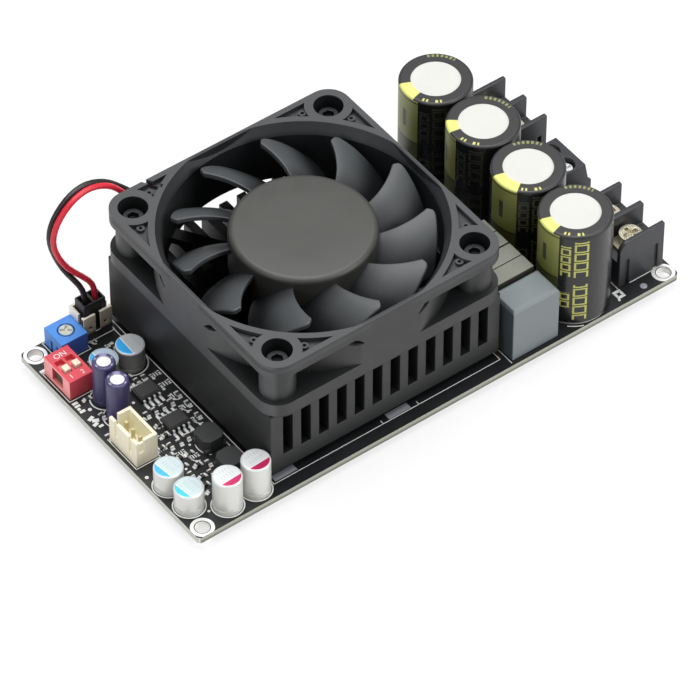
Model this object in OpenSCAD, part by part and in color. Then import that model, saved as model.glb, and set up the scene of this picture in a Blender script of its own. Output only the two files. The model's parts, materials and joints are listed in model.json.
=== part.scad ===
// Fan-cooled audio amplifier board: an assembly of separate pieces, in millimetres.
// The origin is the centre of the four corner holes, on the underside of the board; +Z is up.

/* [Circuit board] */
// length of the board, along X
board_length = 125; // [124:0.5:130]
// width of the board, along Y
board_width = 64; // [64:0.5:68]
// thickness of the board
board_thick = 1.6; // [1:0.2:2.4]
// radius of the board's corners
board_corner = 1; // [0.5:0.25:2]
// distance of the corner holes from the short edges
hole_inset_x = 2.5; // [2.2:0.1:2.8]
// distance of the corner holes from the long edges
hole_inset_y = 2.25; // [2.2:0.05:2.35]
// diameter of the corner holes
hole_d = 3.2; // [3:0.1:3.4]

/* [Heatsink] */
// length of the heatsink, along X
sink_length = 58.6; // [58:0.2:59]
// depth of the heatsink, along Y
sink_depth = 57; // [56:0.5:58]
// height of the heatsink
sink_height = 17.1; // [15.4:0.1:18.4]
// gap between the board and the heatsink's base
sink_lift = 2; // [1.8:0.1:2.4]
// thickness of the heatsink's base
sink_base = 4.4; // [4:0.1:5]
// number of channels between the fins
slot_count = 12; // [12:1:12]
// width of each channel
slot_width = 2.4; // [2.3:0.05:2.6]
// distance of the heatsink from the left edge of the board
sink_inset = 21; // [20.8:0.1:21.2]
// drop of the fins behind the front band, below the side walls
fin_drop = 1.8; // [1.4:0.1:2.2]
// depth of the front band of full height
fin_band = 6; // [5:0.5:8]
// place of the heatsink and fan along Y
sink_y = 0.3; // [0:0.1:0.6]
// spacing of the screws that hold the heatsink
sink_screw_span = 44; // [40:1:46]
// diameter of those screws
sink_screw_d = 3; // [2.5:0.1:3]
// diameter of their heads
sink_head_d = 5.6; // [5:0.1:6]
// height of their heads
sink_head_h = 1.8; // [1.7:0.1:2.2]

/* [Fan] */
// outer size of the square frame
fan_size = 60; // [59.6:0.1:60.4]
// thickness of the fan
fan_thick = 14.6; // [14.2:0.1:15.2]
// spacing of the fan's screw holes
fan_hole_span = 50; // [49.6:0.1:50.2]
// radius of the frame's corners
fan_corner = 5; // [4:0.5:5]
// thickness of the lower flange
flange_low = 3.5; // [3.2:0.1:3.8]
// thickness of the upper flange
flange_top = 3.2; // [3:0.1:3.6]
// bore of the duct
duct_d = 57.8; // [57.4:0.1:58]
// wall of the duct before the frame's flat sides cut it
duct_wall = 2; // [1.8:0.1:2.1]
// diameter of the corner posts
post_d = 7.6; // [7.5:0.1:7.9]
// bore above each screw head
post_bore_d = 6.4; // [6.2:0.1:6.6]
// depth of that bore
bore_deep = 4.7; // [4.4:0.1:5]
// diameter of the fan screw heads
fan_head_d = 4.4; // [4.2:0.1:4.8]
// height of the fan screw heads
fan_head_h = 2.2; // [2:0.1:2.6]
// diameter of the fan screws between the fins
fan_screw_d = 2.2; // [2:0.1:2.2]
// length of the fan screws below their heads
fan_screw_reach = 18; // [17:0.5:19]
// diameter of the impeller's hub
hub_d = 31.2; // [31:0.1:31.6]
// wall of the hub
hub_wall = 1.5; // [1.4:0.05:1.6]
// radius of the hub's rounded rim
hub_round = 1.4; // [1:0.1:1.4]
// drop of the hub's top below the top of the frame
hub_drop = 0.3; // [0.2:0.1:0.6]
// number of blades
blade_count = 11; // [9:1:12]
// gap between the blade tips and the duct
tip_gap = 1.4; // [1:0.1:1.8]
// thickness of a blade, measured upright
blade_thick = 1.4; // [1.2:0.1:1.6]
// turn of a blade from its upper edge to its lower edge at the hub
chord_hub = 34; // [30:1:36]
// the same turn at the tip
chord_tip = 27; // [24:1:30]
// forward sweep of the upper edge from hub to tip
blade_sweep = 11.5; // [8:0.5:14]
// rise of that edge from hub to tip
tip_rise = 2.1; // [1.6:0.1:2.3]
// turn of the whole impeller at rest
blade_start = 29.5; // [0:0.5:32]
// thickness of the motor base and the four struts
base_thick = 1.6; // [1.4:0.1:1.8]
// running gap between turning and fixed pieces
run_gap = 0.25; // [0.2:0.05:0.3]
// diameter of the motor shaft
shaft_d = 3; // [2.8:0.1:3.2]

/* [Bulk capacitors] */
// diameter of a bulk capacitor over its sleeve
bulk_d = 16; // [15.6:0.1:16.1]
// height of a bulk capacitor
bulk_h = 26; // [24:0.5:27]
// spacing of the four capacitors along Y
bulk_pitch = 16.2; // [16.15:0.05:16.3]
// place of the row along X, from the right edge of the board
bulk_inset = 22; // [21.8:0.1:22.2]
// thickness of the shrink sleeve
sleeve_wall = 0.25; // [0.2:0.05:0.35]
// diameter of the opening that the sleeve leaves on top
sleeve_open_d = 10.8; // [10.4:0.1:12]

/* [Small capacitors] */
// diameter of the thin electrolytic capacitors
thin_d = 5; // [4.8:0.1:5.1]
// height of the thin electrolytic capacitors
thin_h = 11.3; // [10:0.5:12]
// diameter of the polymer capacitors
poly_d = 6.3; // [6:0.1:6.4]
// height of the blue-marked polymer capacitors
blue_h = 5.8; // [5:0.2:8]
// height of the magenta-marked polymer capacitors
magenta_h = 9; // [8:0.5:10]
// length of the film capacitor, along X
film_length = 12.2; // [11.8:0.1:12.4]
// depth of the film capacitor, along Y
film_depth = 7.7; // [7:0.1:7.8]
// height of the film capacitor
film_h = 14.2; // [13:0.1:15]
// bevel along its upper edges
film_bevel = 0.7; // [0.4:0.1:1]

/* [Output chokes] */
// length of a choke's core, along X
choke_length = 11; // [10.6:0.1:11.2]
// depth of one core half, along Y
core_half = 4.1; // [3.9:0.1:4.2]
// height of a choke
choke_h = 14.3; // [13:0.1:15]
// thickness of the core's plate and outer legs
core_wall = 1.9; // [1.8:0.1:2.1]
// joint between two core halves
core_joint = 0.15; // [0.1:0.05:0.2]

/* [Headers] */
// pin spacing of the headers
pin_pitch = 2.5; // [2.45:0.01:2.54]
// depth of a header
header_depth = 5.4; // [5.2:0.1:5.75]
// height of a header
header_h = 7; // [6.8:0.1:7.2]
// wall of a header
header_wall = 0.8; // [0.7:0.05:0.9]
// floor of a header
header_floor = 1.4; // [1.2:0.1:1.6]
// thickness of a pin
pin_size = 0.64; // [0.6:0.01:0.7]
// length of a pin above the header's floor
pin_reach = 4.4; // [4:0.1:4.8]
// height of the plug above the board
plug_top = 9.5; // [9:0.1:10]
// gap around the plug
plug_gap = 0.15; // [0.1:0.05:0.2]
// diameter of the fan's two wires
wire_d = 1.3; // [1.2:0.05:1.4]

/* [Trimmer and switch] */
// side of the trimmer's square body
trim_side = 6.6; // [6.4:0.1:6.8]
// height of the trimmer
trim_h = 4.9; // [4.6:0.1:5.2]
// diameter of the trimmer's rotor
trim_rotor_d = 3.2; // [3:0.1:3.4]
// length of the switch, along Y
switch_length = 9.4; // [9.2:0.1:9.6]
// width of the switch, along X
switch_width = 6; // [5.9:0.1:6.2]
// height of the switch
switch_h = 5.2; // [5:0.1:5.6]
// spacing of the two sliders
slider_pitch = 2.54; // [2.5:0.01:2.6]
// travel of a slider
slider_travel = 2; // [1.8:0.1:2.2]
// length of a slider's knob
slider_length = 1.7; // [1.6:0.1:1.8]
// width of a slider's knob
slider_width = 1.5; // [1.4:0.05:1.55]
// height of a slider's knob above the switch
slider_rise = 0.7; // [0.5:0.1:0.9]

/* [Terminals] */
// depth of a barrier block, along X
barrier_depth = 12; // [11.6:0.1:12.2]
// height of the barrier walls above the board
barrier_h = 12.6; // [12.2:0.1:13]
// height of the bay floors
barrier_floor = 7; // [6.6:0.1:7.2]
// width of one bay
bay_width = 5.95; // [5.8:0.05:6]
// thickness of the middle wall
mid_wall = 1.4; // [1.2:0.1:1.4]
// thickness of the end walls
end_wall = 1.1; // [1:0.1:1.15]
// place of each barrier block from the middle of the board
barrier_y = 20; // [19.8:0.1:20]
// place of the outer faces, from the right edge of the board
barrier_inset = 1; // [0.8:0.1:1.4]
// thickness of the contact strips
strip_thick = 0.8; // [0.7:0.1:0.9]
// head diameter of the barrier screws
barrier_head_d = 5; // [4.8:0.1:5.2]
// head height of the barrier screws
barrier_head_h = 2.1; // [1.8:0.1:2.2]
// screw spacing of the small wire terminal
wire_pitch = 5.08; // [5:0.02:5.16]
// depth of the small wire terminal, along X
wire_term_depth = 9.2; // [8.6:0.1:9.4]
// height of the small wire terminal
wire_term_h = 10; // [9.8:0.1:10.4]
// head diameter of its screws
wire_head_d = 3.2; // [3:0.1:3.4]

/* [Chips] */
// length of an eight-lead chip
chip_length = 4.9; // [4.8:0.1:5]
// width of an eight-lead chip
chip_width = 3.9; // [3.8:0.1:4]
// height of an eight-lead chip
chip_h = 1.6; // [1.5:0.1:1.8]
// lead spacing
lead_pitch = 1.27; // [1.25:0.01:1.3]
// side of a shielded inductor
coil_side = 5.2; // [5:0.1:5.4]
// height of a shielded inductor
coil_h = 3.4; // [3:0.1:3.6]
// thickness of the pad between amplifier chip and heatsink
pad_thick = 0.5; // [0.4:0.1:0.6]
// height of the solder joints under the board
solder_h = 1.4; // [1:0.1:1.6]

/* [Hidden] */
round_fn = 64;
small_fn = 24;
eps = 0.02;
top_z = board_thick;
left_x = -board_length / 2;
right_x = board_length / 2;
corners = [[-1, -1], [1, -1], [-1, 1], [1, 1]];

// heatsink and fan places
sink_x = left_x + sink_inset + sink_length / 2;
sink_z = top_z + sink_lift;
fan_z = sink_z + sink_height;
slot_pitch = fan_hole_span / (slot_count - 1);
fan_top = fan_z + fan_thick;
duct_r = duct_d / 2;
duct_outer_d = duct_d + 2 * duct_wall;
mouth_r = duct_r + 1.5;
mouth_depth = 2.5;
mouth_rim = 0.8;
pocket_depth = 1.2;
pocket_rim = 1.3;
pocket_ring = 1.4;
pocket_boss_r = 5.1;
almond_angle = 17;
almond_tilt = 24;
almond_z = fan_thick - flange_top - 1.2;
almond_r = 5;
almond_half = 0.75;
almond_floor_r = duct_r + 0.8;
almond_cut = 4;
notch_width = 1;
strut_width = 3;
outlet_angle = 122;
outlet_r = 32.2;
outlet_size = [4, 4];
outlet_z = 8.2;

// impeller and motor, measured from the fan's lower face
hub_r = hub_d / 2;
hub_top = fan_thick - hub_drop;
hub_low = 3.6;
tip_r = duct_r - tip_gap;
blade_high = hub_top - 2.9;
blade_low = base_thick + 2.4;
blade_curve = 1.4;
root_sink = 0.7;
span_steps = 5;
chord_steps = 6;
yoke_wall = 0.8;
yoke_r = hub_r - hub_wall;
magnet_wall = 1.7;
magnet_r = yoke_r - yoke_wall;
magnet_low = hub_low + 1;
magnet_high = hub_top - hub_wall - yoke_wall - 0.8;
stator_r = magnet_r - magnet_wall - 0.5;
stator_low = base_thick + 2.6;
stator_high = magnet_high - 0.4;
pole_width = 4.4;
pole_shoe = 1.2;
coil_wall = 1.4;
coil_half = pole_width / 2 + coil_wall;
coil_length = 2.6;
coil_end = sqrt(pow(stator_r - pole_shoe, 2) - coil_half * coil_half) - 0.2;
coil_start = coil_end - coil_length;
pole_core_r = coil_start - 0.4;
motor_board_low = base_thick + 0.4;
motor_board_thick = 0.8;
motor_board_r = stator_r - 0.6;
bearing_r = shaft_d / 2 + run_gap + 1.2;
tube_r = bearing_r + 0.9;
tube_high = stator_high + 0.4;

// bulk and small capacitors
bulk_x = right_x - bulk_inset;
row_y = 0.4;
// how far each capacitor stands off the line of the row
row_off = [0.2, 0.4, -0.3, -0.5];
bulk_places = [for (i = [0:3]) [bulk_x + row_off[i], row_y + (1.5 - i) * bulk_pitch]];
bulk_round = 0.7;
can_crimp = 0.5;
thin_places = [[left_x + 7.15, 11.1], [left_x + 6.5, 5.3]];
blue_places = [[left_x + 17.2, 16.2], [left_x + 10.5, 16.1], [left_x + 3.7, -16.4], [left_x + 3.8, -23.4]];
magenta_places = [[left_x + 10.2, -27.9], [left_x + 17.4, -27.8]];
film_gap = 1.7;
film_edge = 1.05;
film_place = [bulk_x - bulk_d / 2 - film_gap - film_length / 2, film_edge + film_depth / 2 - board_width / 2];
choke_x = film_place[0] + 0.3;
choke_front = film_place[1] + film_depth / 2 + 0.7;
choke_step = 2 * core_half + core_joint + 0.3;
choke_places = [for (i = [0:1]) choke_front + core_half + core_joint / 2 + i * choke_step];

// headers, plug and wires
input_pins = 3;
fan_pins = 2;
header_side = 2.35;
input_place = [left_x + 3.9, -3.8];
fan_header_place = [left_x + 16.25, 29.1];
plug_inner = header_depth - 2 * header_wall - 2 * plug_gap;
plug_length = (fan_pins - 1) * pin_pitch + 2 * header_side - 2 * header_wall - 2 * plug_gap;
plug_low = top_z + header_floor;
pin_hole = pin_size + 0.2;
wire_r = wire_d / 2;
wire_sides = 8;
wire_rings = 30;
wire_side_gap = wire_r + 0.08;
lead_straight = 2.5;
lead_drop = 4.5;
outlet_dir = [cos(outlet_angle), sin(outlet_angle), 0];
outlet_across = [-sin(outlet_angle), cos(outlet_angle), 0];
outlet_face = [sink_x, sink_y, fan_z + outlet_z] + outlet_r * outlet_dir;
plug_face = [fan_header_place[0], fan_header_place[1], top_z + plug_top];
route_middle = [
    [-34, 33, 32],
    [-38, 33.5, 36],
    [-43, 33.5, 38],
    [-48, 33, 37],
    [-52, 32.5, 33],
    [-53, 32, 28],
    [-51, 31, 21.5]
];
// direction from the black wire to the red wire at each of those points
route_sides = [
    [-0.51, -0.86, 0],
    [0, -1, 0],
    [0, -1, 0],
    [0, -1, 0],
    [0, -1, 0],
    [0, -1, 0],
    [0.32, -0.81, 0.49]
];

// trimmer and switch
trim_place = [left_x + 9.25, 28.1];
trim_well = 1.2;
trim_cross = 0.6;
switch_place = [left_x + 4, 19.6];
slider_low = switch_place[1] - slider_travel / 2 - 0.1;
slot_room = 0.2;
slider_depth = 1.6;

// terminals
barrier_x = right_x - barrier_inset - barrier_depth / 2;
barrier_span = 2 * bay_width + mid_wall + 2 * end_wall;
bay_step = (bay_width + mid_wall) / 2;
barrier_round = 2.4;
head_seat = top_z + barrier_floor + strip_thick;
barrier_screw_d = 3;
barrier_screw_reach = 4;
wire_inset = 0.2;
wire_well_x = -0.6;
wire_x = right_x - wire_inset - wire_term_depth / 2;
wire_y = 2.9;
wire_span = 2 * wire_pitch;
wire_well_d = wire_head_d + 0.9;
wire_well_depth = 3;
wire_entry = [4, 3.6, 3.8];
wire_entry_low = 1.4;
entry_gap = 0.2;
entry_strip = 0.6;
barrier_places = [for (s = [1, -1]) for (b = [1, -1]) [barrier_x, s * barrier_y + b * bay_step]];
wire_places = [for (b = [1, -1]) [wire_x + wire_well_x, wire_y + b * wire_pitch / 2]];

// chips
op_amp_places = [[left_x + 14.7, 7.2], [left_x + 14.7, -3.2]];
coil_places = [[left_x + 17.1, -11.9], [left_x + 16.7, -19.8]];
lead_width = 0.42;
lead_thick = 0.22;
lead_out = 1.05;
amp_size = [14, 6.1];
amp_h = sink_lift - pad_thick;
amp_lead_count = 16;
amp_lead_pitch = 0.8;
chip_part = [1.6, 0.8, 0.6];
chip_rows = [
    [left_x + 12.2, 10.9, 4, 0],
    [left_x + 12.3, 1.4, 4, 0],
    [left_x + 12.3, -7.6, 4, 0],
    [left_x + 9.8, -11.8, 3, 90],
    [left_x + 10.3, -15.6, 4, 90],
    [left_x + 9.6, -19.8, 3, 90],
    [left_x + 11.5, 20.6, 4, 90]
];
chip_row_pitch = 1.9;

// Shared shapes

// plate with round corners, standing on z = 0
module round_plate(l, w, h, r) {
    linear_extrude(h) {
        square([l - 2 * r, w], center = true);
        square([l, w - 2 * r], center = true);
        for (c = corners)
            translate([c[0] * (l / 2 - r), c[1] * (w / 2 - r)]) circle(r, $fn = small_fn * 2);
    }
}

// box standing on z = 0, centred on its axis
module block(l, w, h) {
    translate([-l / 2, -w / 2, 0]) cube([l, w, h]);
}

// ring standing on z = 0
module ring(outer_r, inner_r, h) {
    difference() {
        cylinder(r = outer_r, h = h, $fn = round_fn);
        translate([0, 0, -eps]) cylinder(r = inner_r, h = h + 2 * eps, $fn = round_fn);
    }
}

// small can with a rounded upper edge and a rolled groove near its foot
module small_can(d, h) {
    r = d / 2;
    edge = 0.5;
    groove_z = 1.2;
    groove = 0.3;
    rotate_extrude($fn = round_fn) {
        difference() {
            union() {
                square([r, h - edge]);
                square([r - edge, h]);
                translate([r - edge, h - edge]) circle(edge, $fn = small_fn);
            }
            translate([r, groove_z]) circle(groove, $fn = small_fn);
            translate([-r, -eps]) square([r, h + 2 * eps]);
        }
    }
}

// round screw head with a cross recess, standing on z = 0
module cross_head(d, h, slot, deep) {
    difference() {
        cylinder(d = d, h = h, $fn = small_fn * 2);
        translate([0, 0, h - deep]) {
            block(d * 0.72, slot, deep + eps);
            block(slot, d * 0.72, deep + eps);
        }
    }
}

// Board

module circuit_board() {
    color("#16181a")
    difference() {
        round_plate(board_length, board_width, board_thick, board_corner);
        for (c = corners) {
            translate([c[0] * (right_x - hole_inset_x), c[1] * (board_width / 2 - hole_inset_y), -eps])
                cylinder(d = hole_d, h = board_thick + 2 * eps, $fn = round_fn);
            translate([sink_x + c[0] * sink_screw_span / 2, sink_y + c[1] * sink_screw_span / 2, -eps])
                cylinder(d = sink_screw_d + 0.4, h = board_thick + 2 * eps, $fn = round_fn);
        }
    }
}

// cone of solder around a trimmed lead, hanging from the underside
module solder(d) {
    mirror([0, 0, 1]) cylinder(d1 = d, d2 = d / 2, h = solder_h, $fn = small_fn);
}

module solder_joints() {
    lead = 2;
    heavy = 2.8;
    color("#c9cdd0") {
        for (p = bulk_places) for (s = [-1, 1]) translate([p[0] + s * 3.75, p[1], 0]) solder(heavy);
        for (p = concat(barrier_places, wire_places)) translate([p[0], p[1], 0]) solder(heavy);
        for (p = thin_places) for (s = [-1, 1]) translate([p[0] + s * 1.25, p[1], 0]) solder(lead);
        for (p = concat(blue_places, magenta_places))
            for (s = [-1, 1]) translate([p[0] + s * 1.25, p[1], 0]) solder(lead);
        for (s = [-1, 1]) translate([film_place[0] + s * 5, film_place[1], 0]) solder(lead);
        for (y = choke_places) for (s = [-1, 1]) translate([choke_x + s * 4, y, 0]) solder(heavy);
        for (i = [-1:1]) translate([input_place[0], input_place[1] + i * pin_pitch, 0]) solder(lead);
        for (s = [-1, 1])
            translate([fan_header_place[0] + s * pin_pitch / 2, fan_header_place[1], 0]) solder(lead);
        for (i = [-1:1]) translate([trim_place[0] + i * 2.5, trim_place[1] + abs(i) * 2 - 1, 0]) solder(lead);
        for (sx = [-1, 1]) for (sy = [-1, 1])
            translate([switch_place[0] + sx * slider_pitch / 2, switch_place[1] + sy * 3.8, 0]) solder(lead);
    }
}

// Heatsink and amplifier chip

module heatsink() {
    color("#3c3e40")
    translate([sink_x, sink_y, sink_z])
    difference() {
        block(sink_length, sink_depth, sink_height);
        for (i = [0:slot_count - 1])
            translate([(i - (slot_count - 1) / 2) * slot_pitch, 0, sink_base])
                block(slot_width, sink_depth + 2 * eps, sink_height);
        translate([0, fin_band, sink_height - fin_drop])
            block((slot_count - 1) * slot_pitch, sink_depth, sink_height);
        for (c = corners)
            translate([c[0] * sink_screw_span / 2, c[1] * sink_screw_span / 2, -eps])
                cylinder(d = sink_screw_d + 0.1, h = sink_base * 0.8, $fn = round_fn);
    }
}

module heatsink_screws() {
    color("#b8bcc0")
    for (c = corners)
        translate([sink_x + c[0] * sink_screw_span / 2, sink_y + c[1] * sink_screw_span / 2, 0]) {
            mirror([0, 0, 1]) cross_head(sink_head_d, sink_head_h, 0.7, 1);
            translate([0, 0, -eps])
                cylinder(d = sink_screw_d, h = sink_z + sink_base * 0.7, $fn = small_fn * 2);
        }
}

module thermal_pad() {
    color("#c8c6bc")
    translate([sink_x, sink_y, sink_z - pad_thick]) block(amp_size[0], amp_size[1], pad_thick);
}

module amplifier_chip() {
    color("#1c1d1f")
    translate([sink_x, sink_y, top_z]) block(amp_size[0], amp_size[1], amp_h);
}

// bent lead: shoulder out of the package, foot on the board, both on the +Y side
module gull_lead(h) {
    shoulder = h / 2 + lead_thick / 2;
    rotate([90, 0, 90])
    translate([0, 0, -lead_width / 2])
    linear_extrude(lead_width) {
        translate([0, shoulder - lead_thick]) square([lead_out / 2, lead_thick]);
        translate([lead_out / 2 - lead_thick, 0]) square([lead_thick, shoulder]);
        translate([lead_out / 2 - lead_thick, 0]) square([lead_out / 2 + lead_thick, lead_thick]);
    }
}

// both rows of leads of one chip
module lead_rows(count, pitch, width, h) {
    for (turn = [0, 180])
        rotate([0, 0, turn])
            for (i = [0:count - 1])
                translate([(i - (count - 1) / 2) * pitch, width / 2, 0]) gull_lead(h);
}

module chip_leads() {
    color("#c4c7ca") {
        translate([sink_x, sink_y, top_z]) lead_rows(amp_lead_count, amp_lead_pitch, amp_size[1], amp_h);
        for (p = op_amp_places)
            translate([p[0], p[1], top_z]) lead_rows(4, lead_pitch, chip_width, chip_h);
    }
}

module op_amps() {
    stand = 0.1;
    bevel = 0.25;
    color("#202224")
    for (p = op_amp_places)
        translate([p[0], p[1], top_z]) {
            translate([0, 0, stand]) block(chip_length, chip_width, chip_h - stand - bevel);
            block(chip_length - 2 * bevel, chip_width - 2 * bevel, chip_h);
        }
}

module shielded_inductors() {
    cut = 1.1;
    color("#3a3b3d")
    for (p = coil_places)
        translate([p[0], p[1], top_z]) {
            block(coil_side, coil_side, coil_h * 0.3);
            linear_extrude(coil_h)
                polygon([for (c = [[1, 1], [-1, 1], [-1, -1], [1, -1]], k = [0, 1])
                    let (a = coil_side / 2, b = coil_side / 2 - cut, same = c[0] * c[1] > 0)
                    [c[0] * ((k == 0) == same ? a : b), c[1] * ((k == 0) == same ? b : a)]]);
        }
}

module chip_parts() {
    color("#6b5a48")
    for (row = chip_rows)
        for (i = [0:row[2] - 1])
            translate([row[0] + i * chip_row_pitch, row[1], top_z])
                rotate([0, 0, row[3] == 0 ? 90 : row[3]])
                    block(chip_part[0], chip_part[1], chip_part[2]);
}

// Fan

// shallow pockets beside the corner posts, in the plan of the frame
module pocket_plan() {
    side = fan_size - 2 * pocket_rim;
    post = fan_hole_span / 2;
    difference() {
        square([side, side], center = true);
        circle(mouth_r + pocket_ring, $fn = round_fn * 2);
        for (c = corners)
            translate([c[0] * post, c[1] * post]) {
                circle(pocket_boss_r, $fn = round_fn);
                translate([c[0] * pocket_boss_r / 2, c[1] * pocket_boss_r / 2])
                    square([pocket_boss_r, pocket_boss_r], center = true);
            }
    }
}

// slanted recess under the upper flange; s is the side of the frame's middle it lies on
module almond(s) {
    rotate([0, 0, s * almond_angle])
        translate([almond_floor_r, 0, almond_z])
            rotate([90, 0, 90])
                rotate([0, 0, s * almond_tilt])
                    linear_extrude(almond_cut)
                        intersection() {
                            translate([0, almond_r - almond_half]) circle(almond_r, $fn = round_fn);
                            translate([0, almond_half - almond_r]) circle(almond_r, $fn = round_fn);
                        }
}

module fan_frame() {
    color("#47494b")
    translate([sink_x, sink_y, fan_z]) {
        difference() {
            union() {
                round_plate(fan_size, fan_size, flange_low, fan_corner);
                translate([0, 0, fan_thick - flange_top])
                    round_plate(fan_size, fan_size, flange_top, fan_corner);
                intersection() {
                    cylinder(d = duct_outer_d, h = fan_thick, $fn = round_fn * 2);
                    block(fan_size, fan_size, fan_thick);
                }
                for (c = corners)
                    translate([c[0] * fan_hole_span / 2, c[1] * fan_hole_span / 2, 0])
                        cylinder(d = post_d, h = fan_thick, $fn = round_fn);
                translate([0, 0, outlet_z - outlet_size[1] / 2])
                    rotate([0, 0, outlet_angle])
                        translate([duct_r + 0.6, -outlet_size[0] / 2, 0])
                            cube([outlet_r - duct_r - 0.6, outlet_size[0], outlet_size[1]]);
            }
            translate([0, 0, -eps]) cylinder(r = duct_r, h = fan_thick + 2 * eps, $fn = round_fn * 2);
            intersection() {
                translate([0, 0, fan_thick - mouth_depth])
                    cylinder(r1 = duct_r, r2 = mouth_r, h = mouth_depth + eps, $fn = round_fn * 2);
                translate([0, 0, fan_thick - 2 * mouth_depth])
                    block(fan_size - 2 * mouth_rim, fan_size - 2 * mouth_rim, 3 * mouth_depth);
            }
            for (c = corners)
                translate([c[0] * fan_hole_span / 2, c[1] * fan_hole_span / 2, 0]) {
                    translate([0, 0, -eps])
                        cylinder(d = fan_screw_d + 1, h = fan_thick, $fn = round_fn);
                    translate([0, 0, fan_thick - bore_deep])
                        cylinder(d = post_bore_d, h = fan_thick, $fn = round_fn);
                }
            translate([0, 0, fan_thick - pocket_depth]) linear_extrude(pocket_depth + eps) pocket_plan();
            for (q = [0:3]) for (s = [-1, 1]) rotate([0, 0, q * 90]) almond(s);
            rotate([0, 0, outlet_angle])
                translate([duct_outer_d / 2 + 0.3, -notch_width / 2, fan_thick - flange_top - eps])
                    cube([fan_corner + pocket_rim, notch_width, flange_top + 2 * eps]);
        }
        cylinder(r = hub_r, h = base_thick, $fn = round_fn);
        for (q = [0:3])
            rotate([0, 0, outlet_angle + q * 90])
                translate([hub_r - 1, -strut_width / 2, 0])
                    cube([duct_r - hub_r + 1.4, strut_width, base_thick]);
        ring(tube_r, bearing_r, tube_high);
    }
}

// one corner point of a blade: s runs from hub to tip, c from the upper to the lower edge
function blade_point(s, c, side) =
    let (r = hub_r - root_sink + s * (tip_r - hub_r + root_sink),
        turn = blade_sweep * pow(s, 1.4) - c * (chord_hub + s * (chord_tip - chord_hub)),
        high = blade_high + s * tip_rise,
        z = high + (blade_low - high) * pow(c, blade_curve) + side * blade_thick / 2)
    [r * cos(turn), r * sin(turn), z];

module blade() {
    n = span_steps;
    m = chord_steps;
    w = m + 1;
    half = (n + 1) * w;
    points = [for (side = [1, -1], i = [0:n], k = [0:m]) blade_point(i / n, k / m, side)];
    upper = [for (i = [0:n - 1], k = [0:m - 1], t = [0, 1])
        t == 0 ? [i * w + k, (i + 1) * w + k + 1, i * w + k + 1]
            : [i * w + k, (i + 1) * w + k, (i + 1) * w + k + 1]];
    lower = [for (f = upper) [half + f[0], half + f[2], half + f[1]]];
    loop = concat([for (k = [0:m]) k], [for (i = [1:n]) i * w + m],
        [for (k = [m - 1:-1:0]) n * w + k], [for (i = [n - 1:-1:1]) i * w]);
    count = len(loop);
    edge = [for (i = [0:count - 1], t = [0, 1])
        let (a = loop[i], b = loop[(i + 1) % count])
        t == 0 ? [a, half + b, half + a] : [a, b, half + b]];
    polyhedron(points, concat(upper, lower, edge), convexity = 4);
}

module fan_impeller() {
    color("#55585b")
    translate([sink_x, sink_y, fan_z]) {
        rotate_extrude($fn = round_fn * 2) {
            translate([yoke_r, hub_low]) square([hub_wall, hub_top - hub_low - hub_round]);
            translate([shaft_d / 2, hub_top - hub_wall]) square([hub_r - hub_round - shaft_d / 2, hub_wall]);
            translate([0, hub_top - hub_wall / 2]) square([shaft_d / 2 + eps, hub_wall / 2]);
            difference() {
                translate([hub_r - hub_round, hub_top - hub_round]) circle(hub_round, $fn = small_fn * 2);
                translate([hub_r - 3 * hub_round, hub_top - 2 * hub_round])
                    square([3 * hub_round - hub_wall, 2 * hub_round - hub_wall]);
            }
        }
        for (i = [0:blade_count - 1]) rotate([0, 0, blade_start + i * 360 / blade_count]) blade();
    }
}

module fan_shaft() {
    color("#c2c6ca")
    translate([sink_x, sink_y, fan_z + base_thick + 0.6])
        cylinder(d = shaft_d, h = hub_top - hub_wall / 2 - base_thick - 0.6, $fn = round_fn);
}

module fan_bearing() {
    color("#b08a4a")
    translate([sink_x, sink_y, fan_z + base_thick])
        ring(bearing_r, shaft_d / 2 + run_gap, tube_high - base_thick - 0.4);
}

module rotor_yoke() {
    color("#8d9296")
    translate([sink_x, sink_y, fan_z]) {
        translate([0, 0, hub_low]) ring(yoke_r, magnet_r, hub_top - hub_wall - hub_low);
        translate([0, 0, hub_top - hub_wall - yoke_wall]) ring(yoke_r, tube_r, yoke_wall);
    }
}

module rotor_magnet() {
    color("#3b3533")
    translate([sink_x, sink_y, fan_z + magnet_low])
        ring(magnet_r, magnet_r - magnet_wall, magnet_high - magnet_low);
}

// plan of the four stator poles
module pole_plan() {
    difference() {
        union() {
            circle(pole_core_r, $fn = round_fn);
            for (q = [0:3]) rotate(q * 90) translate([0, -pole_width / 2]) square([stator_r - 1, pole_width]);
            difference() {
                circle(stator_r, $fn = round_fn);
                circle(stator_r - pole_shoe, $fn = round_fn);
                for (q = [0:3]) rotate(45 + q * 90) translate([0, -1.5]) square([stator_r + 1, 3]);
            }
        }
        circle(tube_r + 0.05, $fn = round_fn);
    }
}

module stator_core() {
    iron_low = stator_low + coil_wall;
    color("#6d7074")
    translate([sink_x, sink_y, fan_z + iron_low])
        linear_extrude(stator_high - coil_wall - iron_low) pole_plan();
}

module stator_coils() {
    color("#b4652f")
    translate([sink_x, sink_y, fan_z])
        for (q = [0:3])
            rotate([0, 0, q * 90])
                difference() {
                    translate([coil_start, -coil_half, stator_low])
                        cube([coil_length, 2 * coil_half, stator_high - stator_low]);
                    translate([coil_start - eps, -pole_width / 2, stator_low + coil_wall])
                        cube([coil_length + 2 * eps, pole_width, stator_high - stator_low - 2 * coil_wall]);
                }
}

module motor_board() {
    color("#2f5a3a")
    translate([sink_x, sink_y, fan_z + motor_board_low])
        ring(motor_board_r, tube_r, motor_board_thick);
}

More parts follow.
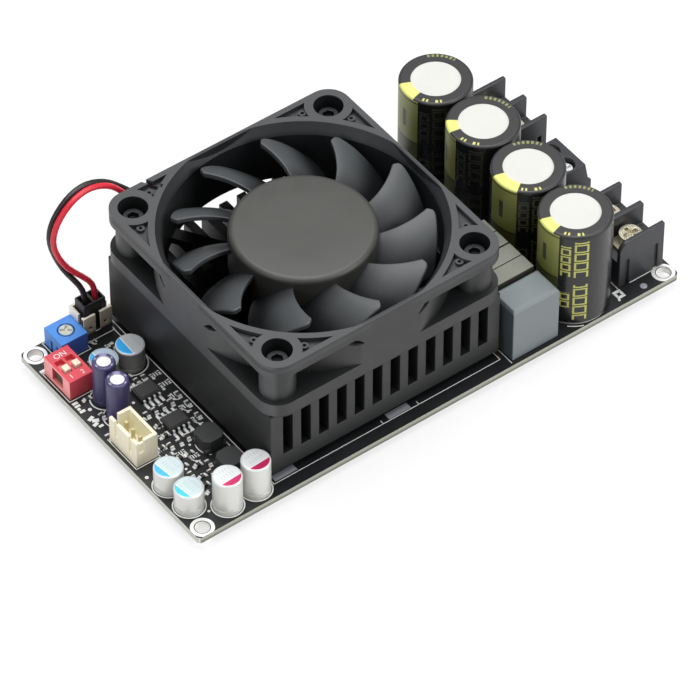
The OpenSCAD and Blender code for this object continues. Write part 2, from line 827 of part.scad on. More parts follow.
module fan_screws() {
    socket = 2.6;
    socket_deep = 1.3;
    color("#3a3c3e")
    for (c = corners)
        translate([sink_x + c[0] * fan_hole_span / 2, sink_y + c[1] * fan_hole_span / 2,
            fan_top - bore_deep]) {
            difference() {
                cylinder(d = fan_head_d, h = fan_head_h, $fn = small_fn * 2);
                translate([0, 0, fan_head_h - socket_deep]) cylinder(d = socket, h = fan_head_h, $fn = 6);
            }
            translate([0, 0, -fan_screw_reach])
                cylinder(d = fan_screw_d, h = fan_screw_reach + eps, $fn = small_fn * 2);
        }
}

// Fan lead

// point on a smooth curve through the list p, t from 0 to 1
function spline(p, t) =
    let (n = len(p) - 1, i = min(floor(t * n), n - 1), u = t * n - i,
        a = p[max(i - 1, 0)], b = p[i], c = p[i + 1], d = p[min(i + 2, n)])
    0.5 * (2 * b + (c - a) * u + (2 * a - 5 * b + 4 * c - d) * u * u + (3 * b - a - 3 * c + d) * u * u * u);

function unit(v) = v / norm(v);

// direction of travel at ring i, straight out of both end faces
function wire_heading(p, i, first, last) =
    i == 0 ? first : i == wire_rings ? last
        : unit(spline(p, (i + 0.5) / wire_rings) - spline(p, (i - 0.5) / wire_rings));

// one wire swept along the list p
module wire(p, first, last) {
    points = [for (i = [0:wire_rings])
        let (o = spline(p, i / wire_rings), d = wire_heading(p, i, first, last),
            e = unit(cross(d, outlet_across)), f = cross(d, e))
        for (k = [0:wire_sides - 1])
            let (a = k * 360 / wire_sides) o + wire_r * (cos(a) * e + sin(a) * f)];
    walls = [for (i = [0:wire_rings - 1], k = [0:wire_sides - 1], t = [0, 1])
        let (a = i * wire_sides + k, b = i * wire_sides + (k + 1) % wire_sides, n = wire_sides)
        t == 0 ? [a, b + n, b] : [a, a + n, b + n]];
    first_cap = [for (k = [0:wire_sides - 1]) k];
    last_cap = [for (k = [wire_sides - 1:-1:0]) wire_rings * wire_sides + k];
    polyhedron(points, concat([first_cap], walls, [last_cap]), convexity = 6);
}

// route of one wire: side -1 is the black wire, 1 the red wire
function wire_route(side) =
    let (off = side * wire_side_gap, start = outlet_face + off * outlet_across)
    concat([start, start + lead_straight * outlet_dir],
        [for (i = [0:len(route_middle) - 1]) route_middle[i] + off * route_sides[i]],
        [plug_face + [side * pin_pitch / 2 - 1, 0, lead_drop], plug_face + [side * pin_pitch / 2, 0, 0]]);

module fan_lead_red() {
    color("#c23340") wire(wire_route(1), outlet_dir, [0, 0, -1]);
}

module fan_lead_black() {
    color("#2a2422") wire(wire_route(-1), outlet_dir, [0, 0, -1]);
}

module fan_plug() {
    color("#232426")
    translate([fan_header_place[0], fan_header_place[1], 0])
    difference() {
        translate([0, 0, plug_low]) block(plug_length, plug_inner, top_z + plug_top - plug_low);
        for (s = [-1, 1])
            translate([s * pin_pitch / 2, 0, plug_low - eps]) block(pin_hole, pin_hole, pin_reach + 0.3);
    }
}

// Headers

// open-topped header with its slotted wall on the -Y side
module header(pins) {
    l = (pins - 1) * pin_pitch + 2 * header_side;
    slot_w = 0.8;
    slot_low = 2.6;
    difference() {
        block(l, header_depth, header_h);
        translate([0, 0, header_floor])
            block(l - 2 * header_wall, header_depth - 2 * header_wall, header_h);
        for (s = [-1, 1])
            translate([s * (l / 2 - 2.3), -header_depth / 2, slot_low])
                block(slot_w, 3 * header_wall, header_h);
        for (s = [-1, 1])
            translate([s * l / 2, -header_depth / 2 + header_wall + 0.6, header_floor + 2.4])
                block(3 * header_wall, 1.2, header_h);
        for (i = [0:pins - 1])
            translate([(i - (pins - 1) / 2) * pin_pitch, 0, -eps])
                block(pin_size, pin_size, header_floor + 2 * eps);
    }
}

module fan_header() {
    color("#e6dcbc")
    translate([fan_header_place[0], fan_header_place[1], top_z]) header(fan_pins);
}

module input_header() {
    color("#e6dcbc")
    translate([input_place[0], input_place[1], top_z]) rotate([0, 0, -90]) header(input_pins);
}

module header_pins() {
    color("#c9ccce") {
        for (s = [-1, 1])
            translate([fan_header_place[0] + s * pin_pitch / 2, fan_header_place[1], top_z])
                block(pin_size, pin_size, header_floor + pin_reach);
        for (i = [-1:1])
            translate([input_place[0], input_place[1] + i * pin_pitch, top_z])
                block(pin_size, pin_size, header_floor + pin_reach);
    }
}

// Trimmer and switch

module trimmer_body() {
    groove = 0.4;
    color("#3f7fd0")
    translate([trim_place[0], trim_place[1], top_z])
    difference() {
        block(trim_side, trim_side, trim_h);
        translate([0, 0, trim_h - trim_well])
            cylinder(d = trim_rotor_d + 2 * run_gap, h = trim_well + eps, $fn = round_fn);
        for (s = [-1, 1])
            translate([-trim_side / 2, s * 1 - 0.4, -eps]) block(2 * groove, 0.5, trim_h * 0.6);
    }
}

module trimmer_rotor() {
    color("#e4dcc0")
    translate([trim_place[0], trim_place[1], top_z + trim_h - trim_well])
    difference() {
        cylinder(d = trim_rotor_d, h = trim_well, $fn = round_fn);
        translate([0, 0, trim_well - trim_cross]) {
            block(trim_rotor_d * 0.8, 0.6, trim_cross + eps);
            block(0.6, trim_rotor_d * 0.8, trim_cross + eps);
        }
    }
}

module switch_body() {
    window = [1.4, 1.8, 3];
    room = slider_travel + slider_length + 2 * slot_room;
    color("#cf4350")
    translate([switch_place[0], switch_place[1], top_z])
    difference() {
        block(switch_width, switch_length, switch_h);
        for (s = [-1, 1])
            translate([s * slider_pitch / 2, 0, switch_h - slider_depth])
                block(slider_width + 2 * slot_room, room, slider_depth + eps);
        translate([-switch_width / 2, -1.2, 1.2]) block(window[0], window[1], window[2]);
    }
}

// sliding knob of the switch: side -1 is the first, 1 the second
module slider(side) {
    color("#efe6cc")
    translate([switch_place[0] + side * slider_pitch / 2, switch_place[1] - slider_travel / 2,
        top_z + switch_h - slider_depth])
        block(slider_width, slider_length, slider_depth + slider_rise);
}

module switch_slider_1() {
    slider(-1);
}

module switch_slider_2() {
    slider(1);
}

// Capacitors

module bulk_can(i) {
    r = bulk_d / 2 - sleeve_wall;
    h = bulk_h - sleeve_wall;
    edge = bulk_round - sleeve_wall;
    color("#dfe0dc")
    translate([bulk_places[i][0], bulk_places[i][1], top_z])
        rotate_extrude($fn = round_fn) {
            square([r, h - edge]);
            square([r - edge, h]);
            intersection() {
                translate([r - edge, h - edge]) circle(edge, $fn = small_fn * 2);
                square([r, h]);
            }
        }
}

module bulk_sleeve(i) {
    r = bulk_d / 2;
    inner = r - sleeve_wall;
    low = 0.6;
    color("#1f2021")
    translate([bulk_places[i][0], bulk_places[i][1], top_z])
        rotate_extrude($fn = round_fn) {
            translate([inner, low]) square([sleeve_wall, bulk_h - bulk_round - low]);
            translate([sleeve_open_d / 2, bulk_h - sleeve_wall])
                square([r - bulk_round - sleeve_open_d / 2, sleeve_wall]);
            intersection() {
                translate([r - bulk_round, bulk_h - bulk_round])
                    difference() {
                        circle(bulk_round, $fn = small_fn * 2);
                        circle(bulk_round - sleeve_wall, $fn = small_fn * 2);
                    }
                translate([r - bulk_round, bulk_h - bulk_round]) square([bulk_round, bulk_round]);
            }
        }
}

module bulk_can_1() {
    bulk_can(0);
}

module bulk_can_2() {
    bulk_can(1);
}

module bulk_can_3() {
    bulk_can(2);
}

module bulk_can_4() {
    bulk_can(3);
}

module bulk_sleeve_1() {
    bulk_sleeve(0);
}

module bulk_sleeve_2() {
    bulk_sleeve(1);
}

module bulk_sleeve_3() {
    bulk_sleeve(2);
}

module bulk_sleeve_4() {
    bulk_sleeve(3);
}

// thin capacitor whose sleeve leaves a round opening on top
module electrolytic(i) {
    color("#4a4180")
    translate([thin_places[i][0], thin_places[i][1], top_z])
    difference() {
        small_can(thin_d, thin_h);
        translate([0, 0, thin_h - sleeve_wall])
            cylinder(d = thin_d * 0.6, h = sleeve_wall + eps, $fn = round_fn);
    }
}

module electrolytic_1() {
    electrolytic(0);
}

module electrolytic_2() {
    electrolytic(1);
}

module polymer(place, h) {
    translate([place[0], place[1], top_z]) small_can(poly_d, h);
}

module blue_capacitor_1() {
    color("#c9ced2") polymer(blue_places[0], blue_h);
}

module blue_capacitor_2() {
    color("#c9ced2") polymer(blue_places[1], blue_h);
}

module blue_capacitor_3() {
    color("#c9ced2") polymer(blue_places[2], blue_h);
}

module blue_capacitor_4() {
    color("#c9ced2") polymer(blue_places[3], blue_h);
}

module magenta_capacitor_1() {
    color("#d2c9ce") polymer(magenta_places[0], magenta_h);
}

module magenta_capacitor_2() {
    color("#d2c9ce") polymer(magenta_places[1], magenta_h);
}

module film_capacitor() {
    b = film_bevel;
    h = film_h;
    color("#7f878a")
    translate([film_place[0], film_place[1], top_z])
    intersection() {
        rotate([90, 0, 0]) translate([0, 0, -film_depth / 2]) linear_extrude(film_depth)
            polygon([[-film_length / 2, 0], [film_length / 2, 0], [film_length / 2, h - b],
                [film_length / 2 - b, h], [b - film_length / 2, h], [-film_length / 2, h - b]]);
        rotate([90, 0, 90]) translate([0, 0, -film_length / 2]) linear_extrude(film_length)
            polygon([[-film_depth / 2, 0], [film_depth / 2, 0], [film_depth / 2, h - b],
                [film_depth / 2 - b, h], [b - film_depth / 2, h], [-film_depth / 2, h - b]]);
    }
}

// Output chokes

// one core half: plate with three legs, its plate on the -Y side of the joint
module core_piece() {
    leg = core_wall * 1.5;
    color("#8f9083")
    translate([-choke_length / 2, -core_half - core_joint / 2, 0]) {
        cube([choke_length, core_wall, choke_h]);
        cube([choke_length, core_half, core_wall]);
        translate([0, 0, choke_h - core_wall]) cube([choke_length, core_half, core_wall]);
        translate([choke_length * 0.2, 0, (choke_h - leg) / 2]) cube([choke_length * 0.6, core_half, leg]);
    }
}

module choke_cores() {
    for (y = choke_places)
        translate([choke_x, y, top_z]) {
            core_piece();
            mirror([0, 1, 0]) core_piece();
        }
}

module choke_coils() {
    leg = core_wall * 1.5;
    room = 2 * (core_half - core_wall) + core_joint;
    gap = 0.2;
    color("#b4652f")
    for (y = choke_places)
        translate([choke_x, y, top_z + choke_h / 2])
            rotate([90, 0, 0])
                translate([0, 0, -room / 2 + gap])
                    linear_extrude(room - 2 * gap)
                        difference() {
                            square([choke_length - gap, choke_h - 2 * core_wall - 2 * gap], center = true);
                            square([choke_length * 0.6 + 2 * gap, leg + 2 * gap], center = true);
                        }
}

// Terminals

// outline of a barrier wall, its rounded corner on the inner side
module wall_plan() {
    translate([-barrier_depth / 2, 0]) {
        square([barrier_depth, barrier_h - barrier_round]);
        translate([barrier_round, 0]) square([barrier_depth - barrier_round, barrier_h]);
        translate([barrier_round, barrier_h - barrier_round]) circle(barrier_round, $fn = round_fn);
    }
}

// upright wall of thickness t, centred on y = 0
module barrier_wall(t) {
    rotate([90, 0, 0]) translate([0, 0, -t / 2]) linear_extrude(t) wall_plan();
}

module barrier_block(side) {
    groove = [0.9, 0.6, 7.4];
    groove_gap = 7.7;
    color("#333436")
    translate([barrier_x, side * barrier_y, top_z])
    difference() {
        union() {
            block(barrier_depth, barrier_span, barrier_floor);
            barrier_wall(mid_wall);
            for (s = [-1, 1])
                translate([0, s * (barrier_span - end_wall) / 2, 0]) barrier_wall(end_wall);
        }
        for (s = [-1, 1], t = [-1, 1])
            translate([t * groove_gap / 2, s * barrier_span / 2, -eps])
                block(groove[0], 2 * groove[1], groove[2]);
        for (s = [-1, 1])
            translate([0, s * bay_step, barrier_floor - barrier_screw_reach])
                cylinder(d = barrier_screw_d + 2 * run_gap, h = barrier_screw_reach + eps, $fn = round_fn);
    }
}

module barrier_block_1() {
    barrier_block(1);
}

module barrier_block_2() {
    barrier_block(-1);
}

module terminal_contacts() {
    strip_margin = 2.2;
    strip_gap = 0.4;
    color("#c8c2a8") {
        for (p = barrier_places)
            translate([p[0], p[1], top_z + barrier_floor])
                difference() {
                    block(barrier_depth - 2 * strip_margin, bay_width - 2 * strip_gap, strip_thick);
                    translate([0, 0, -eps])
                        cylinder(d = barrier_screw_d + 2 * run_gap, h = strip_thick + 2 * eps,
                            $fn = round_fn);
                }
        for (p = wire_places)
            translate([wire_x + wire_term_depth / 2 - wire_entry[0] / 2 - entry_gap, p[1],
                top_z + wire_entry_low])
                block(wire_entry[0] - 4 * entry_gap, wire_entry[1] - 2 * entry_gap, entry_strip);
    }
}

// barrier screw: round head with a cross recess, shank down through the strip
module barrier_screw(i) {
    color("#c9bd97")
    translate([barrier_places[i][0], barrier_places[i][1], head_seat]) {
        cross_head(barrier_head_d, barrier_head_h, 0.9, 1.1);
        translate([0, 0, -barrier_screw_reach])
            cylinder(d = barrier_screw_d, h = barrier_screw_reach + eps, $fn = small_fn * 2);
    }
}

module barrier_screw_1() {
    barrier_screw(0);
}

module barrier_screw_2() {
    barrier_screw(1);
}

module barrier_screw_3() {
    barrier_screw(2);
}

module barrier_screw_4() {
    barrier_screw(3);
}

module wire_terminal() {
    d = wire_term_depth / 2;
    lip = 0.8;
    slant = 1;
    color("#333436")
    translate([wire_x, wire_y, top_z])
    difference() {
        rotate([90, 0, 0])
            translate([0, 0, -wire_span / 2])
                linear_extrude(wire_span)
                    polygon([[-d, 0], [d, 0], [d, wire_term_h * 0.45], [d - lip, wire_term_h * 0.5],
                        [d - lip - slant, wire_term_h], [-d, wire_term_h]]);
        for (s = [-1, 1])
            translate([0, s * wire_pitch / 2, 0]) {
                translate([wire_well_x, 0, wire_term_h - wire_well_depth])
                    cylinder(d = wire_well_d, h = wire_well_depth + eps, $fn = round_fn);
                translate([d - wire_entry[0] / 2 + eps, 0, wire_entry_low])
                    block(wire_entry[0], wire_entry[1], wire_entry[2]);
            }
    }
}

// screw at the bottom of a round well
module wire_screw(i) {
    h = 1.8;
    color("#c6c8ca")
    translate([wire_places[i][0], wire_places[i][1], top_z + wire_term_h - wire_well_depth])
    difference() {
        cylinder(d = wire_head_d, h = h, $fn = small_fn * 2);
        translate([0, 0, h - 0.9]) block(wire_head_d * 0.86, 0.6, 1);
    }
}

module wire_screw_1() {
    wire_screw(0);
}

module wire_screw_2() {
    wire_screw(1);
}

circuit_board();
solder_joints();
heatsink();
heatsink_screws();
thermal_pad();
amplifier_chip();
chip_leads();
op_amps();
shielded_inductors();
chip_parts();
fan_frame();
fan_impeller();
fan_shaft();
fan_bearing();
rotor_yoke();
rotor_magnet();
stator_core();
stator_coils();
motor_board();
fan_screws();
fan_lead_red();
fan_lead_black();
fan_plug();
fan_header();
header_pins();
trimmer_body();
trimmer_rotor();
switch_body();
switch_slider_1();
switch_slider_2();
input_header();
bulk_can_1();
bulk_can_2();
bulk_can_3();
bulk_can_4();
bulk_sleeve_1();
bulk_sleeve_2();
bulk_sleeve_3();
bulk_sleeve_4();
electrolytic_1();
electrolytic_2();
blue_capacitor_1();
blue_capacitor_2();
blue_capacitor_3();
blue_capacitor_4();
magenta_capacitor_1();
magenta_capacitor_2();
film_capacitor();
choke_cores();
choke_coils();
barrier_block_1();
barrier_block_2();
wire_terminal();
terminal_contacts();
barrier_screw_1();
barrier_screw_2();
barrier_screw_3();
barrier_screw_4();
wire_screw_1();
wire_screw_2();
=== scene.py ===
"""Looks of a fan-cooled audio amplifier board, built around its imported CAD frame."""

import json
import math

import bmesh
import bpy
from mathutils import Matrix, Vector

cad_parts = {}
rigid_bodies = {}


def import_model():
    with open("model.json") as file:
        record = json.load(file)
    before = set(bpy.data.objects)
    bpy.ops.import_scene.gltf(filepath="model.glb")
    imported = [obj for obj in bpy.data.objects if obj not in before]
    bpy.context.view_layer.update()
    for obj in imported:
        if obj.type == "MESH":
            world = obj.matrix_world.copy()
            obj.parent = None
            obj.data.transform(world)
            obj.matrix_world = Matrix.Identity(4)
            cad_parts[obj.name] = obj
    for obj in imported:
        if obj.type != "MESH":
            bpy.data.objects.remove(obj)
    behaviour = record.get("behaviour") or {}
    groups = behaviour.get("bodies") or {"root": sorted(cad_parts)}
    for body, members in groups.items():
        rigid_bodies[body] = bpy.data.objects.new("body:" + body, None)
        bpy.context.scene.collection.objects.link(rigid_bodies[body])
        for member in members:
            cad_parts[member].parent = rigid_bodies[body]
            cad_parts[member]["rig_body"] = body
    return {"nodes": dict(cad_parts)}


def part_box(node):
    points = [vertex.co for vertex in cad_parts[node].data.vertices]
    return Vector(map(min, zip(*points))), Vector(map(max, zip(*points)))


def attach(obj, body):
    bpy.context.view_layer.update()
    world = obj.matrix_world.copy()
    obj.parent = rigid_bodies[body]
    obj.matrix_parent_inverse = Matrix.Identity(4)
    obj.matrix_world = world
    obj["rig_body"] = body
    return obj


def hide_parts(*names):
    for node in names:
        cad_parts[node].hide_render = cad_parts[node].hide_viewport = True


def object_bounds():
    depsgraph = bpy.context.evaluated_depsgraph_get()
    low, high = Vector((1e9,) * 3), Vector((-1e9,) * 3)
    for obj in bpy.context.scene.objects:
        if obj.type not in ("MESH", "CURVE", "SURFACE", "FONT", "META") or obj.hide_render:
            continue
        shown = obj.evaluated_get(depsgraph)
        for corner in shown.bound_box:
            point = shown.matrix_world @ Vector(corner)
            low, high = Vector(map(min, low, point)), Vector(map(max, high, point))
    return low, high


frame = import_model()
cad_low, cad_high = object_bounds()
nodes = frame["nodes"]
scene = bpy.context.scene
scene.view_settings.view_transform = "Standard"

# Levels shared by several pieces, in millimetres in the row frame
MM = 0.001
BOARD_TOP = 1.6
INK = 0.03
FULL_TURN = 360.0


def box_of(node):
    """Lower and upper corner of a CAD node's box, in millimetres."""
    low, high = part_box(node)
    return low / MM, high / MM


def middle_of(node):
    """Middle of a CAD node's box, in millimetres."""
    low, high = box_of(node)
    return (low + high) / 2


def foot_of(node):
    """Middle of the lower end of a CAD node's box, in millimetres."""
    middle = middle_of(node)
    return Vector((middle.x, middle.y, box_of(node)[0].z))


def heading(degrees):
    """The level direction that is turned that far from +X."""
    turn = math.radians(degrees)
    return Vector((math.cos(turn), math.sin(turn)))


def put(name, data):
    """A new object in the scene."""
    thing = bpy.data.objects.new(name, data)
    scene.collection.objects.link(thing)
    return thing


# Camera

CAMERA_AZIMUTH = -36.8945
CAMERA_ELEVATION = 46.7593
CAMERA_ROLL = 0.1352
CAMERA_DISTANCE = 1165.138
CAMERA_SIDE = 0.342
CAMERA_RISE = 7.606
FOCAL_PIXELS = 5552.92
PHOTO_PIXELS = 700
SENSOR = 36.0


def set_camera():
    """The camera stands where the photograph was taken from."""
    turn, lift, roll = (math.radians(a) for a in (CAMERA_AZIMUTH, CAMERA_ELEVATION, CAMERA_ROLL))
    back = Vector((math.sin(turn) * math.cos(lift), -math.cos(turn) * math.cos(lift), math.sin(lift)))
    level = heading(CAMERA_AZIMUTH).to_3d()
    rise = back.cross(level)
    right = math.cos(roll) * level + math.sin(roll) * rise
    up = math.cos(roll) * rise - math.sin(roll) * level
    spot = CAMERA_DISTANCE * back - CAMERA_SIDE * right - CAMERA_RISE * up + Vector((0, 0, BOARD_TOP))
    lens = bpy.data.cameras.new("photo_camera")
    lens.sensor_width = SENSOR
    lens.lens = FOCAL_PIXELS / PHOTO_PIXELS * SENSOR
    lens.clip_start, lens.clip_end = 0.05, 20
    camera = put("photo_camera", lens)
    camera.matrix_world = Matrix.Translation(spot * MM) @ Matrix((right, up, back)).transposed().to_4x4()
    scene.camera = camera


set_camera()

# Shader helpers


class Value:
    """A number worked out in a shader. Of two masks, a & b is both, a | b is either and ~a is outside."""

    def __init__(self, tree, socket):
        self.tree = tree
        self.socket = socket

    def math(self, operation, other=0.0):
        node = add_node(self.tree, "Math", {0: self, 1: other}, operation=operation)
        return Value(self.tree, node.outputs[0])

    def __add__(self, other):
        return self.math("ADD", other)

    def __sub__(self, other):
        return self.math("SUBTRACT", other)

    def __mul__(self, other):
        return self.math("MULTIPLY", other)

    def __or__(self, other):
        return self.math("MAXIMUM", other)

    def __invert__(self):
        return self * -1.0 + 1.0

    __and__ = __mul__


def feed(tree, source, target):
    """Link a value or a socket to an input, or set a plain number, vector or colour on it."""
    if isinstance(source, Value):
        source = source.socket
    if isinstance(source, bpy.types.NodeSocket):
        tree.links.new(source, target)
    else:
        target.default_value = source


def add_node(tree, kind, inputs=(), **settings):
    """A shader node with its settings, and what goes into its inputs by number or name."""
    node = tree.nodes.new("ShaderNode" + kind)
    for name, setting in settings.items():
        setattr(node, name, setting)
    for label, source in dict(inputs).items():
        feed(tree, source, node.inputs[label])
    return node


def values_of(tree, node):
    """A node's outputs as values, by name."""
    return {socket.name: Value(tree, socket) for socket in node.outputs}


def given_place(tree, which="Object"):
    """Where a surface point lies in its object, or with Normal the way it faces."""
    return values_of(tree, add_node(tree, "TexCoord"))[which]


def axes_of(tree, vector):
    """The three numbers of a place or direction, by axis."""
    return values_of(tree, add_node(tree, "SeparateXYZ", {0: vector}))


def vector_math(tree, operation, first, second):
    return add_node(tree, "VectorMath", {0: first, 1: second}, operation=operation).outputs[0]


def mix_colour(tree, share, first, second, how="MIX"):
    node = add_node(tree, "Mix", {0: share, 6: first, 7: second}, data_type="RGBA", blend_type=how)
    return node.outputs[2]


def speckle(tree, vector, scale, detail):
    node = add_node(tree, "TexNoise", {"Vector": vector, "Scale": scale, "Detail": detail})
    return Value(tree, node.outputs[0])


def shader_group(name, inputs, outputs):
    """An empty node group with its named sockets: (tree, values in, sockets out)."""
    tree = bpy.data.node_groups.new(name, "ShaderNodeTree")
    for label, kind, value in inputs:
        socket = tree.interface.new_socket(name=label, in_out="INPUT", socket_type="NodeSocket" + kind)
        socket.default_value = value
    for label, kind in outputs:
        tree.interface.new_socket(name=label, in_out="OUTPUT", socket_type="NodeSocket" + kind)
    given = values_of(tree, tree.nodes.new("NodeGroupInput"))
    return tree, given, tree.nodes.new("NodeGroupOutput").inputs


def make_surface_grain():
    """Mottled colour, uneven gloss and a fine relief, for moulded, drawn and printed surfaces."""
    tree, given, made = shader_group(
        "surface_grain",
        [("Colour", "Color", (0.5, 0.5, 0.5, 1)), ("Shade", "Float", 0.2), ("Grain", "Float", 600.0),
         ("Stretch", "Vector", (1, 1, 1)), ("Roughness", "Float", 0.5), ("Spread", "Float", 0.15)],
        [("Colour", "Color"), ("Roughness", "Float"), ("Height", "Float")],
    )
    stretched = vector_math(tree, "MULTIPLY", given_place(tree), given["Stretch"])
    broad = speckle(tree, stretched, given["Grain"] * 0.12, 3.0)
    fine = speckle(tree, stretched, given["Grain"], 2.0)
    swing = broad + fine * 0.5 - 0.75
    tone = swing * given["Shade"] + 1.0
    feed(tree, mix_colour(tree, 1.0, given["Colour"], tone, "MULTIPLY"), made["Colour"])
    feed(tree, swing * given["Spread"] + given["Roughness"], made["Roughness"])
    feed(tree, fine, made["Height"])
    return tree


def make_round_place():
    """Distances from an upright axis and the angle round it from a chosen direction, in millimetres."""
    tree, given, made = shader_group(
        "round_place",
        [("Centre", "Vector", (0, 0, 0)), ("Turn", "Float", 0.0)],
        [("Radius", "Float"), ("Angle", "Float"), ("Rise", "Float"), ("Across", "Float"), ("Along", "Float")],
    )
    shifted = vector_math(tree, "SUBTRACT", given_place(tree), given["Centre"])
    turned = add_node(tree, "VectorRotate", {"Vector": shifted, "Angle": given["Turn"] * -1.0},
                      rotation_type="Z_AXIS")
    x, y, z = axes_of(tree, turned.outputs[0]).values()
    spread = (x * x + y * y).math("SQRT")
    for label, distance in (("Radius", spread), ("Rise", z), ("Across", x), ("Along", y)):
        feed(tree, distance.math("DIVIDE", MM), made[label])
    feed(tree, y.math("ARCTAN2", x), made["Angle"])
    return tree


def make_band():
    """1 within Half of Middle, 0 outside, with a soft edge."""
    tree, given, made = shader_group(
        "band",
        [("Value", "Float", 0.0), ("Middle", "Float", 0.0), ("Half", "Float", 1.0), ("Soft", "Float", 0.02)],
        [("Mask", "Float")],
    )
    limits = {"Value": (given["Value"] - given["Middle"]).math("ABSOLUTE"), "To Min": 1.0, "To Max": 0.0,
              "From Min": given["Half"] - given["Soft"], "From Max": given["Half"] + given["Soft"]}
    ramp = add_node(tree, "MapRange", limits, interpolation_type="SMOOTHSTEP")
    feed(tree, ramp.outputs["Result"], made["Mask"])
    return tree


SURFACE_GRAIN = make_surface_grain()
ROUND_PLACE = make_round_place()
BAND = make_band()


def use_group(tree, group, **inputs):
    return values_of(tree, add_node(tree, "Group", inputs, node_tree=group))


def band(value, middle, half, soft=0.02):
    """A mask of where a value lies within half of a middle."""
    return use_group(value.tree, BAND, Value=value, Middle=middle, Half=half, Soft=soft)["Mask"]


def place_of(material, centre=(0, 0, 0), turn=0.0):
    """A surface point's place about an upright axis, in millimetres; turn is in degrees."""
    return use_group(material.node_tree, ROUND_PLACE, Centre=Vector(centre) * MM, Turn=math.radians(turn))


def facing(material):
    """The way a surface faces, in the frame's own directions."""
    return axes_of(material.node_tree, given_place(material.node_tree, "Normal"))


def looks(way, sign, half=0.4, soft=0.1):
    """A mask of the faces that look along an axis, by its sign, or square to it where sign is 0."""
    return band(way, sign, half, soft)


def around(angle, degrees, half, soft=0.01):
    """A mask of a sector; its middle and half width in degrees."""
    return band(angle, math.radians(degrees), math.radians(half), soft)


def paint(code):
    """A written sRGB colour as linear RGBA."""
    values = [int(code[i:i + 2], 16) / 255 for i in (1, 3, 5)]
    linear = [v / 12.92 if v <= 0.04045 else ((v + 0.055) / 1.055) ** 2.4 for v in values]
    return (*linear, 1.0)


RELIEF = 0.02


def finish(name, colour, shade=0.25, grain=1800, stretch=(1, 1, 1), rough=0.42, spread=0.15,
           bump=0.15, metal=0.0):
    """A surface with grain: the colour is written as it looks under plain light."""
    material = bpy.data.materials.new(name)
    material.use_nodes = True
    tree = material.node_tree
    shader = tree.nodes["Principled BSDF"]
    shader.inputs["Metallic"].default_value = metal
    skin = use_group(tree, SURFACE_GRAIN, Colour=paint(colour), Shade=shade, Grain=grain,
                     Stretch=stretch, Roughness=rough, Spread=spread)
    feed(tree, skin["Colour"], shader.inputs["Base Color"])
    feed(tree, skin["Roughness"], shader.inputs["Roughness"])
    relief = add_node(tree, "Bump", {"Strength": bump, "Distance": RELIEF * MM, "Height": skin["Height"]})
    feed(tree, relief.outputs["Normal"], shader.inputs["Normal"])
    return material


def mark(material, mask, colour, rough=None):
    """Lay a colour, and its own gloss where given, over a finish where the mask is 1."""
    tree = material.node_tree
    shader = tree.nodes["Principled BSDF"]
    below = shader.inputs["Base Color"].links[0].from_socket
    feed(tree, mix_colour(tree, mask, below, paint(colour)), shader.inputs["Base Color"])
    if rough is not None:
        old = Value(tree, shader.inputs["Roughness"].links[0].from_socket)
        feed(tree, old * ~mask + mask * rough, shader.inputs["Roughness"])


# Finishes

BOARD_MASK = finish("board_mask", "#17191b", shade=0.3, grain=900, rough=0.38, spread=0.2, bump=0.1)
SOLDER = finish("solder", "#c2c5c6", shade=0.3, grain=2500, rough=0.28, spread=0.3, bump=0.3, metal=1.0)
BLACK_ANODISED = finish("black_anodised", "#3f4142", shade=0.22, grain=1600, stretch=(1, 0.25, 1),
                        rough=0.5, spread=0.2, bump=0.12)
SCREW_STEEL = finish("screw_steel", "#4c4e50", shade=0.3, rough=0.38, spread=0.3, bump=0.2, metal=0.8)
SCREW_BLACK = finish("screw_black", "#2b2c2e", shade=0.3, rough=0.35, spread=0.2, bump=0.2, metal=0.5)
SOFT_PAD = finish("soft_pad", "#c8c6bc", shade=0.3, grain=1200, rough=0.8, bump=0.4)
CHIP_BLACK = finish("chip_black", "#3a3c3a", shade=0.35, grain=3500, rough=0.6, bump=0.35)
LEAD_TIN = finish("lead_tin", "#eceeed", shade=0.2, grain=2500, rough=0.35, spread=0.3, metal=0.2)
DARK_FERRITE = finish("dark_ferrite", "#3a3b3c", shade=0.4, grain=2600, rough=0.66, bump=0.4)
CHIP_CERAMIC = finish("chip_ceramic", "#3a322b", shade=0.4, grain=2600, rough=0.55, bump=0.2)
FRAME_CHARCOAL = finish("frame_charcoal", "#434547", shade=0.22, grain=2200,
                        rough=0.47, spread=0.2, bump=0.2)
# painted shade: the pips are the frame's plastic, painted a little darker where they sit in the pockets
PIP_GREY = finish("pip_grey", "#3c3e40", shade=0.22, grain=2200, rough=0.47, spread=0.2, bump=0.2)
IMPELLER_GREY = finish("impeller_grey", "#474a4c", shade=0.2, grain=2200, rough=0.45, spread=0.2, bump=0.18)
HUB_GREY = finish("hub_grey", "#434340", shade=0.2, grain=2200, rough=0.45, spread=0.2, bump=0.18)
BRONZE = finish("bronze", "#a8834a", shade=0.3, rough=0.4, metal=1.0)
IRON = finish("iron", "#7b8084", shade=0.3, metal=1.0)
COPPER = finish("copper", "#b06a3a", shade=0.35, grain=1500, stretch=(0.3, 1, 6),
                rough=0.35, bump=0.5, metal=0.7)
MOTOR_BOARD_GREEN = finish("motor_board_green", "#2f5a3a", shade=0.3, grain=1500, rough=0.45)
WIRE_RED = finish("wire_red", "#d22b3b", shade=0.2, grain=1600, rough=0.36, bump=0.12)
WIRE_BLACK = finish("wire_black", "#2a2423", grain=1600, rough=0.38, bump=0.12)
PLUG_BLACK = finish("plug_black", "#222325", shade=0.3, grain=2500, rough=0.5, bump=0.25)
HEADER_IVORY = finish("header_ivory", "#f3ead0", shade=0.14, grain=1500, rough=0.45)
TRIMMER_BLUE = finish("trimmer_blue", "#4a8fe2", shade=0.2)
ROTOR_IVORY = finish("rotor_ivory", "#cfcfc4", grain=2500, rough=0.45)
